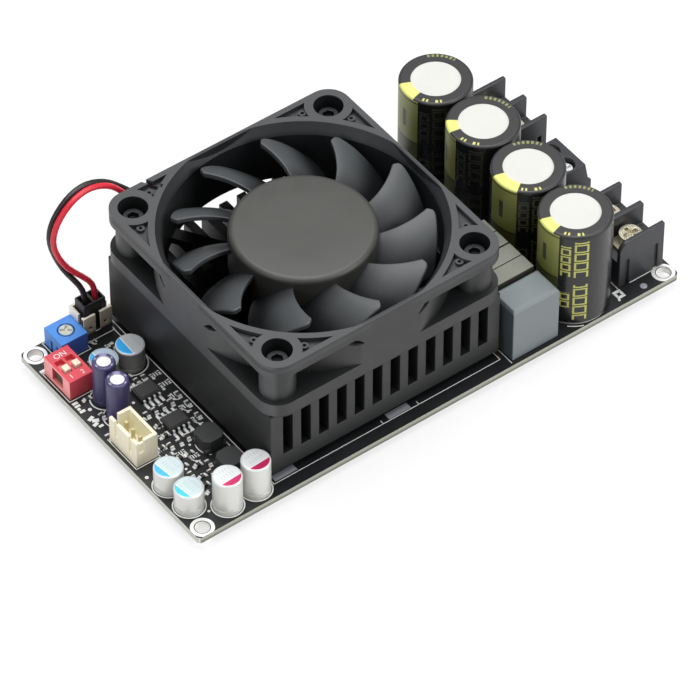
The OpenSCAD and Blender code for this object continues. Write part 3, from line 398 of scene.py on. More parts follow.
SWITCH_RED = finish("switch_red", "#d94a58", shade=0.18)
SLIDER_IVORY = finish("slider_ivory", "#f6e6d0", shade=0.15, grain=2200, rough=0.45)
CAN_ALUMINIUM = finish("can_aluminium", "#d1d1cc", shade=0.1, grain=1400, rough=0.55, bump=0.12, metal=0.15)
FILM_GREY = finish("film_grey", "#757d7f", shade=0.14, grain=1500, rough=0.5, bump=0.2)
CORE_GREY = finish("core_grey", "#7d7f74", shade=0.3, grain=1700, rough=0.62, bump=0.35)
TERMINAL_BLACK = finish("terminal_black", "#2e2f33", shade=0.22, grain=2000, spread=0.2, bump=0.2)
CONTACT_BRASS = finish("contact_brass", "#a7a18d", grain=1500, rough=0.32, metal=1.0)
SCREW_NICKEL = finish("screw_nickel", "#d8d2bd", rough=0.3, spread=0.3, metal=0.9)
SCREW_ZINC = finish("screw_zinc", "#e4e6e6", rough=0.32, spread=0.3, metal=0.6)
# painted shade: the fan header's ivory is painted grey-tan all over, and painted lighter where the light
# falls
HEADER_IVORY_IN_SHADE = finish("header_ivory_in_shade", "#b5ab98", shade=0.18, grain=1500, rough=0.5)
PIN_BRASS = finish("pin_brass", "#cdbf94", grain=2000, rough=0.4, metal=0.3)
PAD_WHITE = finish("pad_white", "#eff0ee", shade=0.12, grain=2200,
                   rough=0.4, spread=0.2, bump=0.2, metal=0.25)
PAD_DULL = finish("pad_dull", "#a2a5ae", rough=0.4, bump=0.2, metal=0.3)
INK_WHITE = finish("ink_white", "#e9ebe6", shade=0.16, grain=3000, rough=0.6, bump=0.2)

# Sizes that the marks on the fan, the heatsink and the smaller parts follow, in millimetres
LOW_FLANGE = 3.5
POCKET_DEPTH = 1.2
POCKET_RING = (36.0, 5.6)
POST_PLACE = 25.0
POST_BORE = 3.3
FRAME_INSIDE = 29.8
DUCT_LIP = 30.35
DUCT_WALL = 29.2
ROOT_RING = (14.0, 4.5)
BLADE_SHADE = 7.1
FIN_DEPTH = 12.0
FOOT_SHADE = 4.5
SKIN_DEPTH = 0.3


def board_edges():
    """The cut edges of the board show grey laminate, darker towards the lower face, with painted light on the
    edges towards -X and a painted reflection in the hole walls.
    """
    high = box_of("circuit_board")[1]
    place, way = place_of(BOARD_MASK), facing(BOARD_MASK)
    side = looks(way["Z"], 0, 0.5)
    mark(BOARD_MASK, side, "#a9ab9d", 0.7)
    mark(BOARD_MASK, side & band(place["Rise"], 0.3, 0.45, 0.3), "#7b7d70", 0.8)
    # painted light: the edges that face -X are painted lighter
    mark(BOARD_MASK, side & looks(way["X"], -1, 0.5), "#cccec4", 0.75)
    # painted reflection: the hole walls are painted near white, the plated tin with a painted reflection of
    # the white floor
    holes = band(place["Across"], 0.0, high.x - 0.3, 0.1) & band(place["Along"], 0.0, high.y - 0.2, 0.1)
    mark(BOARD_MASK, side & holes, "#f4f4f0", 0.6)


def heatsink_painted_shade():
    """Painted shade: the heatsink's walls and the insides of its slots are painted darker than its outer
    metal, as are its foot, its upward faces and its top edge under the fan.
    """
    skin = BLACK_ANODISED
    low, high = box_of("heatsink")
    middle, half = (low + high) / 2, (high - low) / 2
    place, way = place_of(skin), facing(skin)
    # painted shade on the faces towards -Y, darker still near the foot, and on those towards -X
    front = looks(way["Y"], -1)
    mark(skin, front, "#292a2a")
    mark(skin, front & band(place["Rise"], low.z, FOOT_SHADE, 1.5), "#1e1f1f")
    mark(skin, looks(way["X"], -1), "#2b2c2d")
    # painted shade inside the slots, on the upward faces under the fan and along the top edge
    fins = band(place["Across"], middle.x, half.x - 0.4, 0.05) & band(place["Rise"], high.z, FIN_DEPTH, 0.05)
    inner = band(place["Along"], middle.y, half.y - SKIN_DEPTH, 0.05)
    mark(skin, fins & inner & looks(way["Z"], 0, 0.5), "#1d1e1e")
    mark(skin, looks(way["Z"], 1), "#101111")
    mark(skin, band(place["Rise"], high.z, 0.2, 0.05), "#0d0e0e")


def fan_painted_light_and_shade():
    """Painted shade on the fan's walls, duct, pockets, post bores and blade roots, which get less light than
    its top, and painted light on its faces towards -X.
    """
    skin = FRAME_CHARCOAL
    low, high = box_of("fan_frame")
    level = (high.z - low.z) / 2
    place, way = place_of(skin, (low + high) / 2), facing(skin)
    # painted shade on the faces towards -Y, painted light on those towards -X
    mark(skin, looks(way["Y"], -1, 0.35, 0.15), "#292b29")
    mark(skin, looks(way["X"], -1, 0.35, 0.15), "#4b4e4f")
    # painted shade in the duct, on the pocket floors, on the lower flange's top under the upper one, along
    # the foot and in the post bores
    inner = band(place["Across"], 0.0, FRAME_INSIDE, 0.05) & band(place["Along"], 0.0, FRAME_INSIDE, 0.05)
    mark(skin, inner & band(place["Radius"], 0.0, DUCT_LIP, 0.08), "#2c2e30")
    mark(skin, inner & band(place["Radius"], 0.0, DUCT_WALL, 0.3), "#1b1d1f")
    floor = band(place["Rise"], level - POCKET_DEPTH, 0.5, 0.1)
    mark(skin, band(place["Radius"], *POCKET_RING, 0.05) & floor, "#353739")
    mark(skin, band(place["Rise"], LOW_FLANGE - level, 0.4, 0.1) & looks(way["Z"], 1), "#222425")
    mark(skin, band(place["Rise"], -level, 0.2, 0.05), "#0d0e0e")
    wide, deep = (place[axis].math("ABSOLUTE") - POST_PLACE for axis in ("Across", "Along"))
    bores = band((wide * wide + deep * deep).math("SQRT"), 0.0, POST_BORE, 0.1)
    mark(skin, bores & ~band(place["Rise"], level, 0.3, 0.1), "#1a1b1d")

    # painted shade on the blade roots, the lower parts of the blades and the hub's side
    place = place_of(IMPELLER_GREY, foot_of("fan_impeller"))
    mark(IMPELLER_GREY, band(place["Radius"], *ROOT_RING, 2.5) * 0.75, "#1d1f21")
    mark(IMPELLER_GREY, band(place["Rise"], 0.0, BLADE_SHADE, 2.8), "#0f1113")
    mark(HUB_GREY, looks(facing(HUB_GREY)["Z"], 0, 0.5, 0.3), "#323230")


def small_part_painted_light_and_shade():
    """Painted light and shade on the faces of the smaller parts that the light from the left or their depth
    makes brighter or darker.
    """
    # painted shade on the film capacitor's faces towards -X and the chokes' faces towards -Y
    mark(FILM_GREY, looks(facing(FILM_GREY)["X"], -1, soft=0.2), "#454b4f")
    mark(CORE_GREY, looks(facing(CORE_GREY)["Y"], -1, soft=0.2), "#3d3d36")

    low, high = box_of("trimmer_body")
    place, way = place_of(TRIMMER_BLUE), facing(TRIMMER_BLUE)
    # painted shade on the trimmer's faces towards -Y and in its well, and at the rotor's rim, which is
    # painted blue-grey outside its middle
    mark(TRIMMER_BLUE, looks(way["Y"], -1), "#4d72d6")
    mark(TRIMMER_BLUE, looks(way["X"], -1) & ~band(place["Across"], low.x, 0.2), "#16377c")
    mark(ROTOR_IVORY, ~band(place_of(ROTOR_IVORY, (low + high) / 2)["Radius"], 0.0, 1.4, 0.05), "#7f9fc6")

    low, high = box_of("switch_body")
    place, way = place_of(SWITCH_RED), facing(SWITCH_RED)
    left = looks(way["X"], -1)
    # painted light on the switch's outer left face and on its slot floors, painted shade inside the window in
    # its side
    mark(SWITCH_RED, left & band(place["Across"], low.x, SKIN_DEPTH), "#ffa3a3")
    inside = band(place["Across"], low.x + 1.1, 0.9) & band(place["Rise"], low.z + 3.0, 2.0)
    mark(SWITCH_RED, left & inside, "#4c4d40")
    mark(SWITCH_RED, looks(way["Z"], 1) & ~band(place["Rise"], high.z, SKIN_DEPTH), "#f58a86")

    low, high = box_of("input_header")
    middle, half = (low + high) / 2, (high - low) / 2
    place = place_of(HEADER_IVORY)
    # painted light on the input header's inside
    inside = (band(place["Across"], middle.x, half.x - SKIN_DEPTH, 0.05)
              & band(place["Along"], middle.y, half.y - SKIN_DEPTH, 0.05))
    mark(HEADER_IVORY, inside & band(place["Rise"], low.z, high.z - low.z - SKIN_DEPTH, 0.05), "#fffae0")

    low, high = box_of("fan_header")
    place, way = place_of(HEADER_IVORY_IN_SHADE), facing(HEADER_IVORY_IN_SHADE)
    # painted light on the fan header's faces towards -X and its top, painted shade in its front slot and
    # holes and low on its front
    mark(HEADER_IVORY_IN_SHADE, looks(way["X"], -1), "#fffdf5")
    mark(HEADER_IVORY_IN_SHADE, looks(way["Z"], 1), "#e9e3d4")
    below = band(place["Rise"], low.z, high.z - low.z - SKIN_DEPTH, 0.05)
    mark(HEADER_IVORY_IN_SHADE, band(place["Along"], low.y + 0.45, 0.32) & below, "#2b2b2c")
    mark(HEADER_IVORY_IN_SHADE, looks(way["Y"], -1) & band(place["Rise"], low.z, 2.2, 0.5), "#2d2d2e")


board_edges()
heatsink_painted_shade()
fan_painted_light_and_shade()
small_part_painted_light_and_shade()

# Piece helpers


def mesh_of(name, shape):
    """A mesh of a finished bmesh, which is used up."""
    mesh = bpy.data.meshes.new(name)
    shape.to_mesh(mesh)
    shape.free()
    return mesh


def finished_mesh(thing):
    """A mesh of an object as its modifiers or text settings leave it."""
    bpy.context.view_layer.update()
    return bpy.data.meshes.new_from_object(thing.evaluated_get(bpy.context.evaluated_depsgraph_get()))


def add_piece(name, shape, material, body="board", stands_for=(), smooth=30.0):
    """Turn a finished bmesh into a piece that rides on a CAD body."""
    mesh = mesh_of(name, shape)
    mesh.shade_smooth()
    mesh.set_sharp_from_angle(angle=math.radians(smooth))
    mesh.materials.append(material)
    piece = put(name, mesh)
    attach(piece, body)
    if stands_for:
        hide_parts(*stands_for)
    return piece


def even_shading(piece):
    """Keep large faces flat beside rounded edges."""
    weighted = piece.modifiers.new("even_shading", "WEIGHTED_NORMAL")
    weighted.keep_sharp = True


def round_edges(shape, edges, width, segments, clamp=False):
    """Round edges of a bmesh to a width in millimetres."""
    bmesh.ops.bevel(shape, geom=edges, offset=width * MM, offset_type="OFFSET", affect="EDGES",
                    segments=segments, profile=0.5, material=-1, clamp_overlap=clamp)


SHARP_TURN = 28.0


def eased(node, material, width=0, segments=2):
    """A copy of a CAD node with its sharp edges rounded, standing for that node."""
    shape = bmesh.new()
    shape.from_mesh(nodes[node].data)
    bmesh.ops.remove_doubles(shape, verts=shape.verts, dist=2e-6)
    bmesh.ops.dissolve_limit(shape, angle_limit=math.radians(0.5), verts=shape.verts, edges=shape.edges)
    if width:
        sharp = [e for e in shape.edges
                 if len(e.link_faces) == 2 and e.calc_face_angle() > math.radians(SHARP_TURN)]
        round_edges(shape, sharp, width, segments, clamp=True)
    piece = add_piece(node + "_eased", shape, material, nodes[node]["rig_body"], [node], 40.0)
    even_shading(piece)
    return piece


def cut_out(piece, low, high):
    """Take a box out of a finished piece; its two corners in millimetres."""
    low, high = Vector(low), Vector(high)
    shape = bmesh.new()
    plate(shape, (low.xy + high.xy) / 2, high - low, low.z)
    mesh = mesh_of("cut_out", shape)
    tool = put("cut_out", mesh)
    cut = piece.modifiers.new("cut_out", "BOOLEAN")
    cut.operation, cut.solver, cut.object = "DIFFERENCE", "EXACT", tool
    done = finished_mesh(piece)
    piece.modifiers.clear()
    piece.data = done
    bpy.data.objects.remove(tool)
    bpy.data.meshes.remove(mesh)


def sink_tops(shape, wall, drop):
    """Sink the upper faces of a block, each inside a wall of that thickness, in millimetres."""
    tops = [f for f in shape.faces if f.normal.z > 0.9]
    bmesh.ops.inset_individual(shape, faces=tops, thickness=wall * MM)
    sunk = bmesh.ops.extrude_discrete_faces(shape, faces=tops)["faces"]
    bmesh.ops.translate(shape, verts=list({v for f in sunk for v in f.verts}), vec=(0, 0, -drop * MM))


def dress(node, material):
    """Give a CAD node its finish."""
    nodes[node].data.materials.clear()
    nodes[node].data.materials.append(material)


def plate(shape, middle, size, low=BOARD_TOP, turn=0.0):
    """A small upright box of that size, standing on a level, in millimetres."""
    place = Matrix.Translation(Vector((*middle, low + size[2] / 2)) * MM)
    spin = Matrix.Rotation(math.radians(turn), 4, "Z")
    return bmesh.ops.create_cube(shape, size=MM, matrix=place @ spin @ Matrix.Diagonal((*size, 1)))["verts"]


def bar(shape, start, end, width):
    """A flat bar of ink between two points on the board, in millimetres."""
    first, last = Vector((*start, BOARD_TOP)), Vector((*end, BOARD_TOP))
    along = last - first
    place = Matrix.Translation(((first + last) / 2 + Vector((0, 0, INK / 2))) * MM)
    turn = Matrix.Rotation(math.atan2(along.y, along.x), 4, "Z")
    form = Matrix.Diagonal((along.length, width, INK, 1))
    bmesh.ops.create_cube(shape, size=MM, matrix=place @ turn @ form)


def lathe(shape, middle, outline, steps=64, closed=True):
    """Spin an outline of (radius, height) points once round an upright axis, in millimetres."""
    spots = [shape.verts.new(Vector((middle[0] + r, middle[1], z)) * MM) for r, z in outline]
    pairs = list(zip(spots, spots[1:] + ([spots[0]] if closed else [])))
    edges = [shape.edges.new(p) for p in pairs]
    bmesh.ops.spin(shape, geom=spots + edges, cent=Vector((*middle, 0)) * MM, axis=(0, 0, 1),
                   angle=math.radians(FULL_TURN), steps=steps, use_merge=True)


def upright_profile(inner, outer, low, thick):
    """Corners of a flat ring's cross-section, as (radius, height)."""
    return [(inner, low), (outer, low), (outer, low + thick), (inner, low + thick)]


def hoop(shape, middle, inner, outer, low=BOARD_TOP, thick=INK, steps=48):
    """A flat closed ring, in millimetres."""
    lathe(shape, middle, upright_profile(inner, outer, low, thick), steps)


def arc(shape, middle, radius, width, start, sweep, steps=14):
    """A flat arc of ink on the board, in millimetres and degrees."""
    turn = Matrix.Rotation(math.radians(start), 3, "Z")
    hub = Vector((*middle, 0)) * MM
    spots = [shape.verts.new(hub + turn @ Vector((r, 0, z)) * MM)
             for r, z in upright_profile(radius, radius + width, BOARD_TOP, INK)]
    face = shape.faces.new(spots)
    bmesh.ops.spin(shape, geom=[face, *face.edges, *spots], cent=hub, axis=(0, 0, 1),
                   angle=math.radians(sweep), steps=steps)


def tidy_normals(shape):
    bmesh.ops.remove_doubles(shape, verts=shape.verts, dist=1e-7)
    bmesh.ops.recalc_face_normals(shape, faces=shape.faces)


# Fan lead

# the two wires' points repeat the route of the CAD source
LEAD_START = Vector((-29.2634, 27.6072, 28.9))
LEAD_OUT = heading(122).to_3d()
LEAD_ACROSS = Vector((-LEAD_OUT.y, LEAD_OUT.x, 0))
LEAD_MIDDLE = [(-34, 33, 32), (-38, 33.5, 36), (-43, 33.5, 38), (-48, 33, 37), (-52, 32.5, 33),
               (-53, 32, 28), (-51, 31, 21.5)]
LEAD_SIDES = [(-0.51, -0.86, 0)] + [(0, -1, 0)] * 5 + [(0.32, -0.81, 0.49)]
LEAD_END = Vector((-46.25, 29.1, 11.1))
LEAD_GAP = 0.73
LEAD_STRAIGHT = 2.5
LEAD_DROP = 4.5
LEAD_SINK = 1.2
PIN_PITCH = 2.5
WIRE_DIAMETER = 1.3
WIRE_POINTS = 36
PLUG_WALL = 0.42
PLUG_WELL = 1.6
PLUG_RIB = (0.9, 0.5, 2.2)


def smooth_point(points, share):
    """Point on the smooth curve through the list, share from 0 to 1."""
    count = len(points) - 1
    i = min(int(share * count), count - 1)
    u = share * count - i
    a, b, c, d = points[max(i - 1, 0)], points[i], points[i + 1], points[min(i + 2, count)]
    return 0.5 * (2 * b + (c - a) * u + (2 * a - 5 * b + 4 * c - d) * u * u
                  + (3 * b - a - 3 * c + d) * u ** 3)


def fan_wire(name, side, material, slot, node):
    """One insulated wire from the fan's outlet to the plug; side is 1 for red and -1 for black."""
    off = side * LEAD_GAP
    first = LEAD_START + off * LEAD_ACROSS
    last = LEAD_END + Vector((side * PIN_PITCH / 2, 0, 0))
    points = [first, first + LEAD_STRAIGHT * LEAD_OUT]
    points += [Vector(q) + off * Vector(s) for q, s in zip(LEAD_MIDDLE, LEAD_SIDES)]
    points += [last + Vector((-1, 0, LEAD_DROP)), last]
    path = [smooth_point(points, i / WIRE_POINTS) for i in range(WIRE_POINTS + 1)]
    path.append(last - Vector((0, 0, LEAD_SINK)))
    curve = bpy.data.curves.new(name, "CURVE")
    curve.dimensions = "3D"
    curve.bevel_depth = WIRE_DIAMETER / 2 * MM
    curve.bevel_resolution = 5
    curve.use_fill_caps = True
    spline = curve.splines.new("POLY")
    spline.points.add(len(path) - 1)
    for point, spot in zip(spline.points, path):
        point.co = (*(spot * MM), 1)
    spline.use_smooth = True
    curve.materials.append(material)
    wire = put(name, curve)
    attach(wire, "board")
    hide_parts(node)
    length = sum((b - a).length for a, b in zip(path, path[1:]))
    return wire, path[0] * MM, length * MM


def fan_plug_piece():
    """Plug housing: two wire sockets in its upper face and a guide rib on each side."""
    low, high = box_of("fan_plug")
    middle = (low + high) / 2
    shape = bmesh.new()
    plate(shape, middle.xy, high - low, low.z)
    bmesh.ops.bisect_plane(shape, geom=shape.verts[:] + shape.edges[:] + shape.faces[:],
                           plane_co=middle * MM, plane_no=(1, 0, 0))
    sink_tops(shape, PLUG_WALL, PLUG_WELL)
    for x in (-0.75, 0.75):
        plate(shape, (middle.x + x * PIN_PITCH, low.y + 0.1), PLUG_RIB, high.z - 2.6)
    bmesh.ops.recalc_face_normals(shape, faces=shape.faces)
    return add_piece("fan_plug_housing", shape, PLUG_BLACK, stands_for=["fan_plug"])


plug = fan_plug_piece()
for lead in (("fan_wire_red", 1, WIRE_RED, "wire_red", "fan_lead_red"),
             ("fan_wire_black", -1, WIRE_BLACK, "wire_black", "fan_lead_black")):
    wire, leaves_at, wire_length = fan_wire(*lead)

# Fan wheel

FAN_LOW = box_of("fan_frame")[0].z
HUB_CENTRE = middle_of("fan_shaft").xy
HUB_RADIUS = 15.6
HUB_WALL = 1.5
HUB_LOW = FAN_LOW + 3.6
HUB_TOP = box_of("fan_impeller")[1].z
HUB_ROUND = 1.4
BLADES = 11
BLADE_START = 29.5
BLADE_TIP = 27.5
BLADE_ROOT = HUB_RADIUS - 0.7
BLADE_HIGH = HUB_TOP - 2.9
TIP_RISE = 2.1
TIP_ROUND = 1.6
BLADE_LOW = FAN_LOW + 4.0
BLADE_THICK = 1.4
CHORD_HUB, CHORD_TIP, BLADE_SWEEP = 34.0, 27.0, 11.5
BLADE_CURVE = 1.4


def fan_wheel():
    """Cup-shaped hub with eleven swept and twisted blades."""
    shape = bmesh.new()
    bmesh.ops.create_grid(shape, x_segments=12, y_segments=22, size=0.5)
    tip_chord = math.radians(CHORD_TIP) * BLADE_TIP
    for v in shape.verts:
        out, back = v.co.x + 0.5, v.co.y + 0.5
        cut = max(TIP_ROUND - min(back, 1 - back) * tip_chord, 0)
        reach = BLADE_TIP - TIP_ROUND + math.sqrt(TIP_ROUND ** 2 - cut ** 2)
        radius = BLADE_ROOT + out * (reach - BLADE_ROOT)
        turn = (BLADE_START + BLADE_SWEEP * out ** BLADE_CURVE
                - back * (CHORD_HUB + out * (CHORD_TIP - CHORD_HUB)))
        high = BLADE_HIGH + out * TIP_RISE
        rise = high + (BLADE_LOW - high) * back ** BLADE_CURVE + BLADE_THICK / 2
        v.co = Vector((*(radius * heading(turn)), rise)) * MM
    made = bmesh.ops.extrude_face_region(shape, geom=shape.faces[:])["geom"]
    bmesh.ops.translate(shape, verts=[v for v in made if isinstance(v, bmesh.types.BMVert)],
                        vec=(0, 0, -BLADE_THICK * MM))
    one = shape.verts[:] + shape.edges[:] + shape.faces[:]
    for i in range(1, BLADES):
        copy = bmesh.ops.duplicate(shape, geom=one)["geom"]
        bmesh.ops.rotate(shape, verts=[v for v in copy if isinstance(v, bmesh.types.BMVert)], cent=(0, 0, 0),
                         matrix=Matrix.Rotation(math.radians(FULL_TURN * i / BLADES), 3, "Z"))
    bmesh.ops.recalc_face_normals(shape, faces=shape.faces)
    bmesh.ops.translate(shape, verts=shape.verts, vec=HUB_CENTRE.to_3d() * MM)
    blades = add_piece("fan_blades", shape, IMPELLER_GREY, "rotor", ["fan_impeller"], 45.0)
    soft = blades.modifiers.new("soft_edges", "BEVEL")
    soft.width, soft.segments, soft.limit_method = 0.3 * MM, 3, "ANGLE"
    soft.angle_limit = math.radians(45)
    even_shading(blades)

    cup = bmesh.new()
    bend = [(HUB_RADIUS - HUB_ROUND + HUB_ROUND * math.sin(math.radians(a)),
             HUB_TOP - HUB_ROUND + HUB_ROUND * math.cos(math.radians(a))) for a in range(0, 91, 15)]
    outline = [(0, HUB_TOP), (2.2, HUB_TOP), (8, HUB_TOP), *bend, (HUB_RADIUS, HUB_LOW + 0.3),
               (HUB_RADIUS - 0.3, HUB_LOW), (HUB_RADIUS - HUB_WALL, HUB_LOW),
               (HUB_RADIUS - HUB_WALL, HUB_TOP - HUB_WALL), (2, HUB_TOP - HUB_WALL), (0, HUB_TOP - HUB_WALL)]
    lathe(cup, HUB_CENTRE, outline, 96, closed=False)
    tidy_normals(cup)
    add_piece("fan_hub", cup, HUB_GREY, "rotor", ["fan_impeller"], 35.0)


fan_wheel()

# Board print, pads and small parts

# rings round capacitors: node and gap; outlines round boxy parts: node, gap and how many sides show
PRINT_RINGS = (("blue_capacitor_1", 0.4), ("blue_capacitor_2", 0.4), ("blue_capacitor_3", 0.14),
               ("blue_capacitor_4", 0.14), ("magenta_capacitor_1", 0.14), ("magenta_capacitor_2", 0.14),
               ("electrolytic_1", 0.6), ("electrolytic_2", 0.6))
PRINT_BOXES = (("trimmer_body", 0.35, 4), ("switch_body", 0.35, 4), ("fan_header", 0.3, 4),
               ("input_header", 0.3, 4), ("film_capacitor", 0.35, 1), ("wire_terminal", 0.25, 4))
# start, end and width
PRINT_LINES = (((-41.5, -29), (16.9, -29), 0.16), ((-41.4, 30.5), (-41.4, 23.2), 0.18),
               ((-41.4, 20), (-41.4, -29), 0.18), ((-42.5, 28.6), (-42.5, 23.4), 0.18),
               ((-42.4, -11.2), (-42.4, -15), 0.18), ((-13.5, -29), (-13.5, -28), 0.16),
               ((-4.3, -29), (-4.3, -28), 0.16), ((16.9, -29), (16.9, 29.6), 0.16),
               ((-41.4, 30.5), (16.9, 30.5), 0.16), ((49.3, -27.7), (49.3, -11.8), 0.2),
               ((49.3, 28.2), (49.3, 11.8), 0.2), ((52.4, -27.8), (58.4, -27.8), 0.2),
               ((49.3, 28.3), (61.9, 28.3), 0.2))
# middle, radius, first angle and sweep
PRINT_ARCS = (((-43, 3.1), 1.15, 120, 150), ((-42.9, -0.9), 1.15, 120, 150), ((-43, -5.2), 1.15, 120, 150),
              ((-49.6, -13.3), 1.2, 130, 140), ((-44.4, -11.9), 3.7, 130, 100), ((-47.6, 26), 1.0, 60, 200),
              ((40, -23.9), 8.3, 225, 24))
# middle, size and turn
PRINT_PATCHES = (((-61.3, 24.9), (1.4, 1.2), 0), ((-61.2, 13.6), (1.3, 0.7), 0),
                 ((-61.2, 12.7), (1.3, 0.6), 0), ((-61.45, 11.8), (0.7, 0.7), 0),
                 ((-61.2, 10.9), (1.3, 0.7), 0), ((-61.0, 8.2), (1.5, 0.8), 20),
                 ((-60.5, 7.2), (1.5, 0.9), -25), ((-61.1, 6.3), (1.3, 0.8), 15),
                 ((-60.4, 5.3), (1.1, 0.6), 0))
# short marks beside the small parts: x, y, strokes, turn and height
DESIGNATORS = [
    (-43.1, 10.5, 3, 0, 1.2), (-43.0, 7.2, 3, 0, 1.3), (-43.4, 3.4, 3, 0, 1.2), (-43.3, -0.4, 3, 0, 1.3),
    (-43.6, -4.6, 2, 0, 1.4), (-43.2, -8.6, 3, 0, 1.1), (-45.9, 23.0, 3, 0, 1.0), (-47.9, 26.0, 2, 0, 1.2),
    (-45.0, 20.3, 3, 0, 0.8), (-52.6, 9.2, 3, 90, 0.8), (-51.7, -4.6, 3, 0, 1.3), (-50.8, -1.9, 2, 0, 1.2),
    (-54.3, -7.4, 3, 0, 1.2), (-51.7, -10.6, 3, 0, 1.1), (-50.0, -13.0, 3, 0, 1.1), (-53.6, -11.4, 3, 0, 0.9),
    (-54.0, -22.6, 3, 0, 0.9), (-49.2, -24.4, 3, 0, 0.9), (-55.9, -20.0, 3, 90, 0.9),
    (-47.0, -19.6, 3, 0, 0.9), (-59.6, 26.3, 2, 0, 0.8), (-55.9, 14.4, 3, 0, 0.7),
    (20.2, 10.5, 3, 90, 0.8), (20.2, 20.5, 3, 90, 0.8), (29.5, 28.6, 3, 0, 0.8),
]
RING_WIDTH = 0.28
BOX_WIDTH = 0.18
ARC_WIDTH = 0.22
PRINT_REACH_X, PRINT_REACH_Y = 62.2, 31.7


def designator(ink, middle, strokes, turn, height):
    """A printed mark that stands for a short word: plain strokes, none of them a letter."""
    along = heading(turn)
    over = Vector((-along.y, along.x)) * height / 2
    side = along * height * 0.24
    width = 0.2 * height
    for i in range(strokes):
        spot = middle + along * (i - (strokes - 1) / 2) * height * 0.78
        if (i + strokes) % 3 == 1:
            for share in (-1, 1):
                bar(ink, spot + side * share - over, spot + side * share + over * 0.9, width)
            continue
        for share in (-0.9, -0.1, 0.8):
            bar(ink, spot - side + over * share, spot + side * (1 - i % 2 * 0.6) + over * share, width)
        bar(ink, spot - over * 0.8, spot + over * 0.1, width)


def board_print():
    """White lines and rings printed on the board."""
    ink = bmesh.new()
    for node, gap in PRINT_RINGS:
        low, high = box_of(node)
        inner = (high.x - low.x) / 2 + gap
        hoop(ink, middle_of(node).xy, inner, inner + RING_WIDTH)
    for start, end, width in PRINT_LINES:
        bar(ink, start, end, width)
    for node, gap, sides in PRINT_BOXES:
        low, high = box_of(node)
        x0, y0 = max(low.x - gap, -PRINT_REACH_X), max(low.y - gap, -PRINT_REACH_Y)
        x1, y1 = min(high.x + gap, PRINT_REACH_X), min(high.y + gap, PRINT_REACH_Y)
        corners = ((x0, y0), (x0, y1), (x1, y1), (x1, y0), (x0, y0))
        for start, end in list(zip(corners, corners[1:]))[:sides]:
            bar(ink, start, end, BOX_WIDTH)
    for middle, radius, start, sweep in PRINT_ARCS:
        arc(ink, middle, radius, ARC_WIDTH, start, sweep)
    for middle, size, turn in PRINT_PATCHES:
        plate(ink, middle, (*size, INK), turn=turn)
    for x, y, *form in DESIGNATORS:
        designator(ink, Vector((x, y)), *form)
    tidy_normals(ink)
    add_piece("board_print", ink, INK_WHITE, smooth=20.0)


# small ceramic parts: x, y, turn, tone (0 brown capacitor, 1 black resistor)
SMALL_PARTS = [
    (-42.7, 2.9, 90, 1), (-42.5, -0.4, 90, 1), (-42.8, -4.4, 90, 1), (-50.9, -1.8, 0, 0), (-51.5, -5.0, 0, 0),
    (-53.0, 1.3, 0, 1), (-51.2, 10.6, 90, 0), (-49.3, 10.9, 90, 1), (-47.4, 10.9, 90, 0),
    (-45.5, 10.9, 90, 1), (-51.2, 2.0, 90, 1), (-49.3, 1.9, 90, 0), (-47.3, 1.9, 90, 1), (-45.2, 1.9, 90, 0),
    (-50.2, -8.2, 90, 1), (-48.2, -8.0, 90, 0), (-46.2, -7.9, 90, 1), (-52.4, -8.0, 90, 0),
    (-54.3, -7.3, 0, 0), (-54.0, -9.9, 0, 1), (-52.7, -11.8, 0, 0), (-50.4, -11.8, 0, 1),
    (-53.4, -14.0, 0, 1), (-50.9, -15.6, 0, 0), (-48.8, -16.4, 90, 1), (-53.6, -17.0, 90, 0),
    (-52.0, -18.6, 0, 1), (-50.0, -18.9, 90, 0), (-52.9, -20.9, 0, 0), (-50.2, -21.9, 0, 1),
    (-53.0, -23.0, 0, 1), (-47.5, -24.0, 0, 0), (-45.0, -24.0, 0, 1), (-54.4, -12.6, 90, 1),
    (-48.4, 21.2, 0, 0), (-51.2, 21.4, 0, 1), (-45.6, 21.9, 90, 0),
    (-52.6, 12.6, 90, 0), (-58.5, 13.1, 0, 1), (-58.8, 7.2, 90, 0), (-61.0, 1.6, 90, 1), (-48.3, 13.1, 0, 1),
    (21.3, 4.2, 90, 0), (21.3, 8.2, 90, 1), (23.4, 6.2, 90, 0), (25.5, 4.2, 90, 0), (27.6, 8.2, 90, 1),
    (22.0, 15.0, 0, 0), (25.4, 15.0, 0, 1), (28.6, 15.2, 0, 0), (23.0, 24.2, 0, 1), (27.0, 24.2, 0, 0),
]
PART_LONG, PART_WIDE, PART_HIGH = 1.6, 0.85, 0.55
PART_END = 0.36
PART_ROUND = 0.05
# the solder at each end, and the shares of the part's width and height that it takes
FOOT_LONG, FOOT_OUT, FOOT_TOE = 0.5, 0.12, 0.05
FOOT_WIDE, FOOT_HIGH = 1.1, 0.5


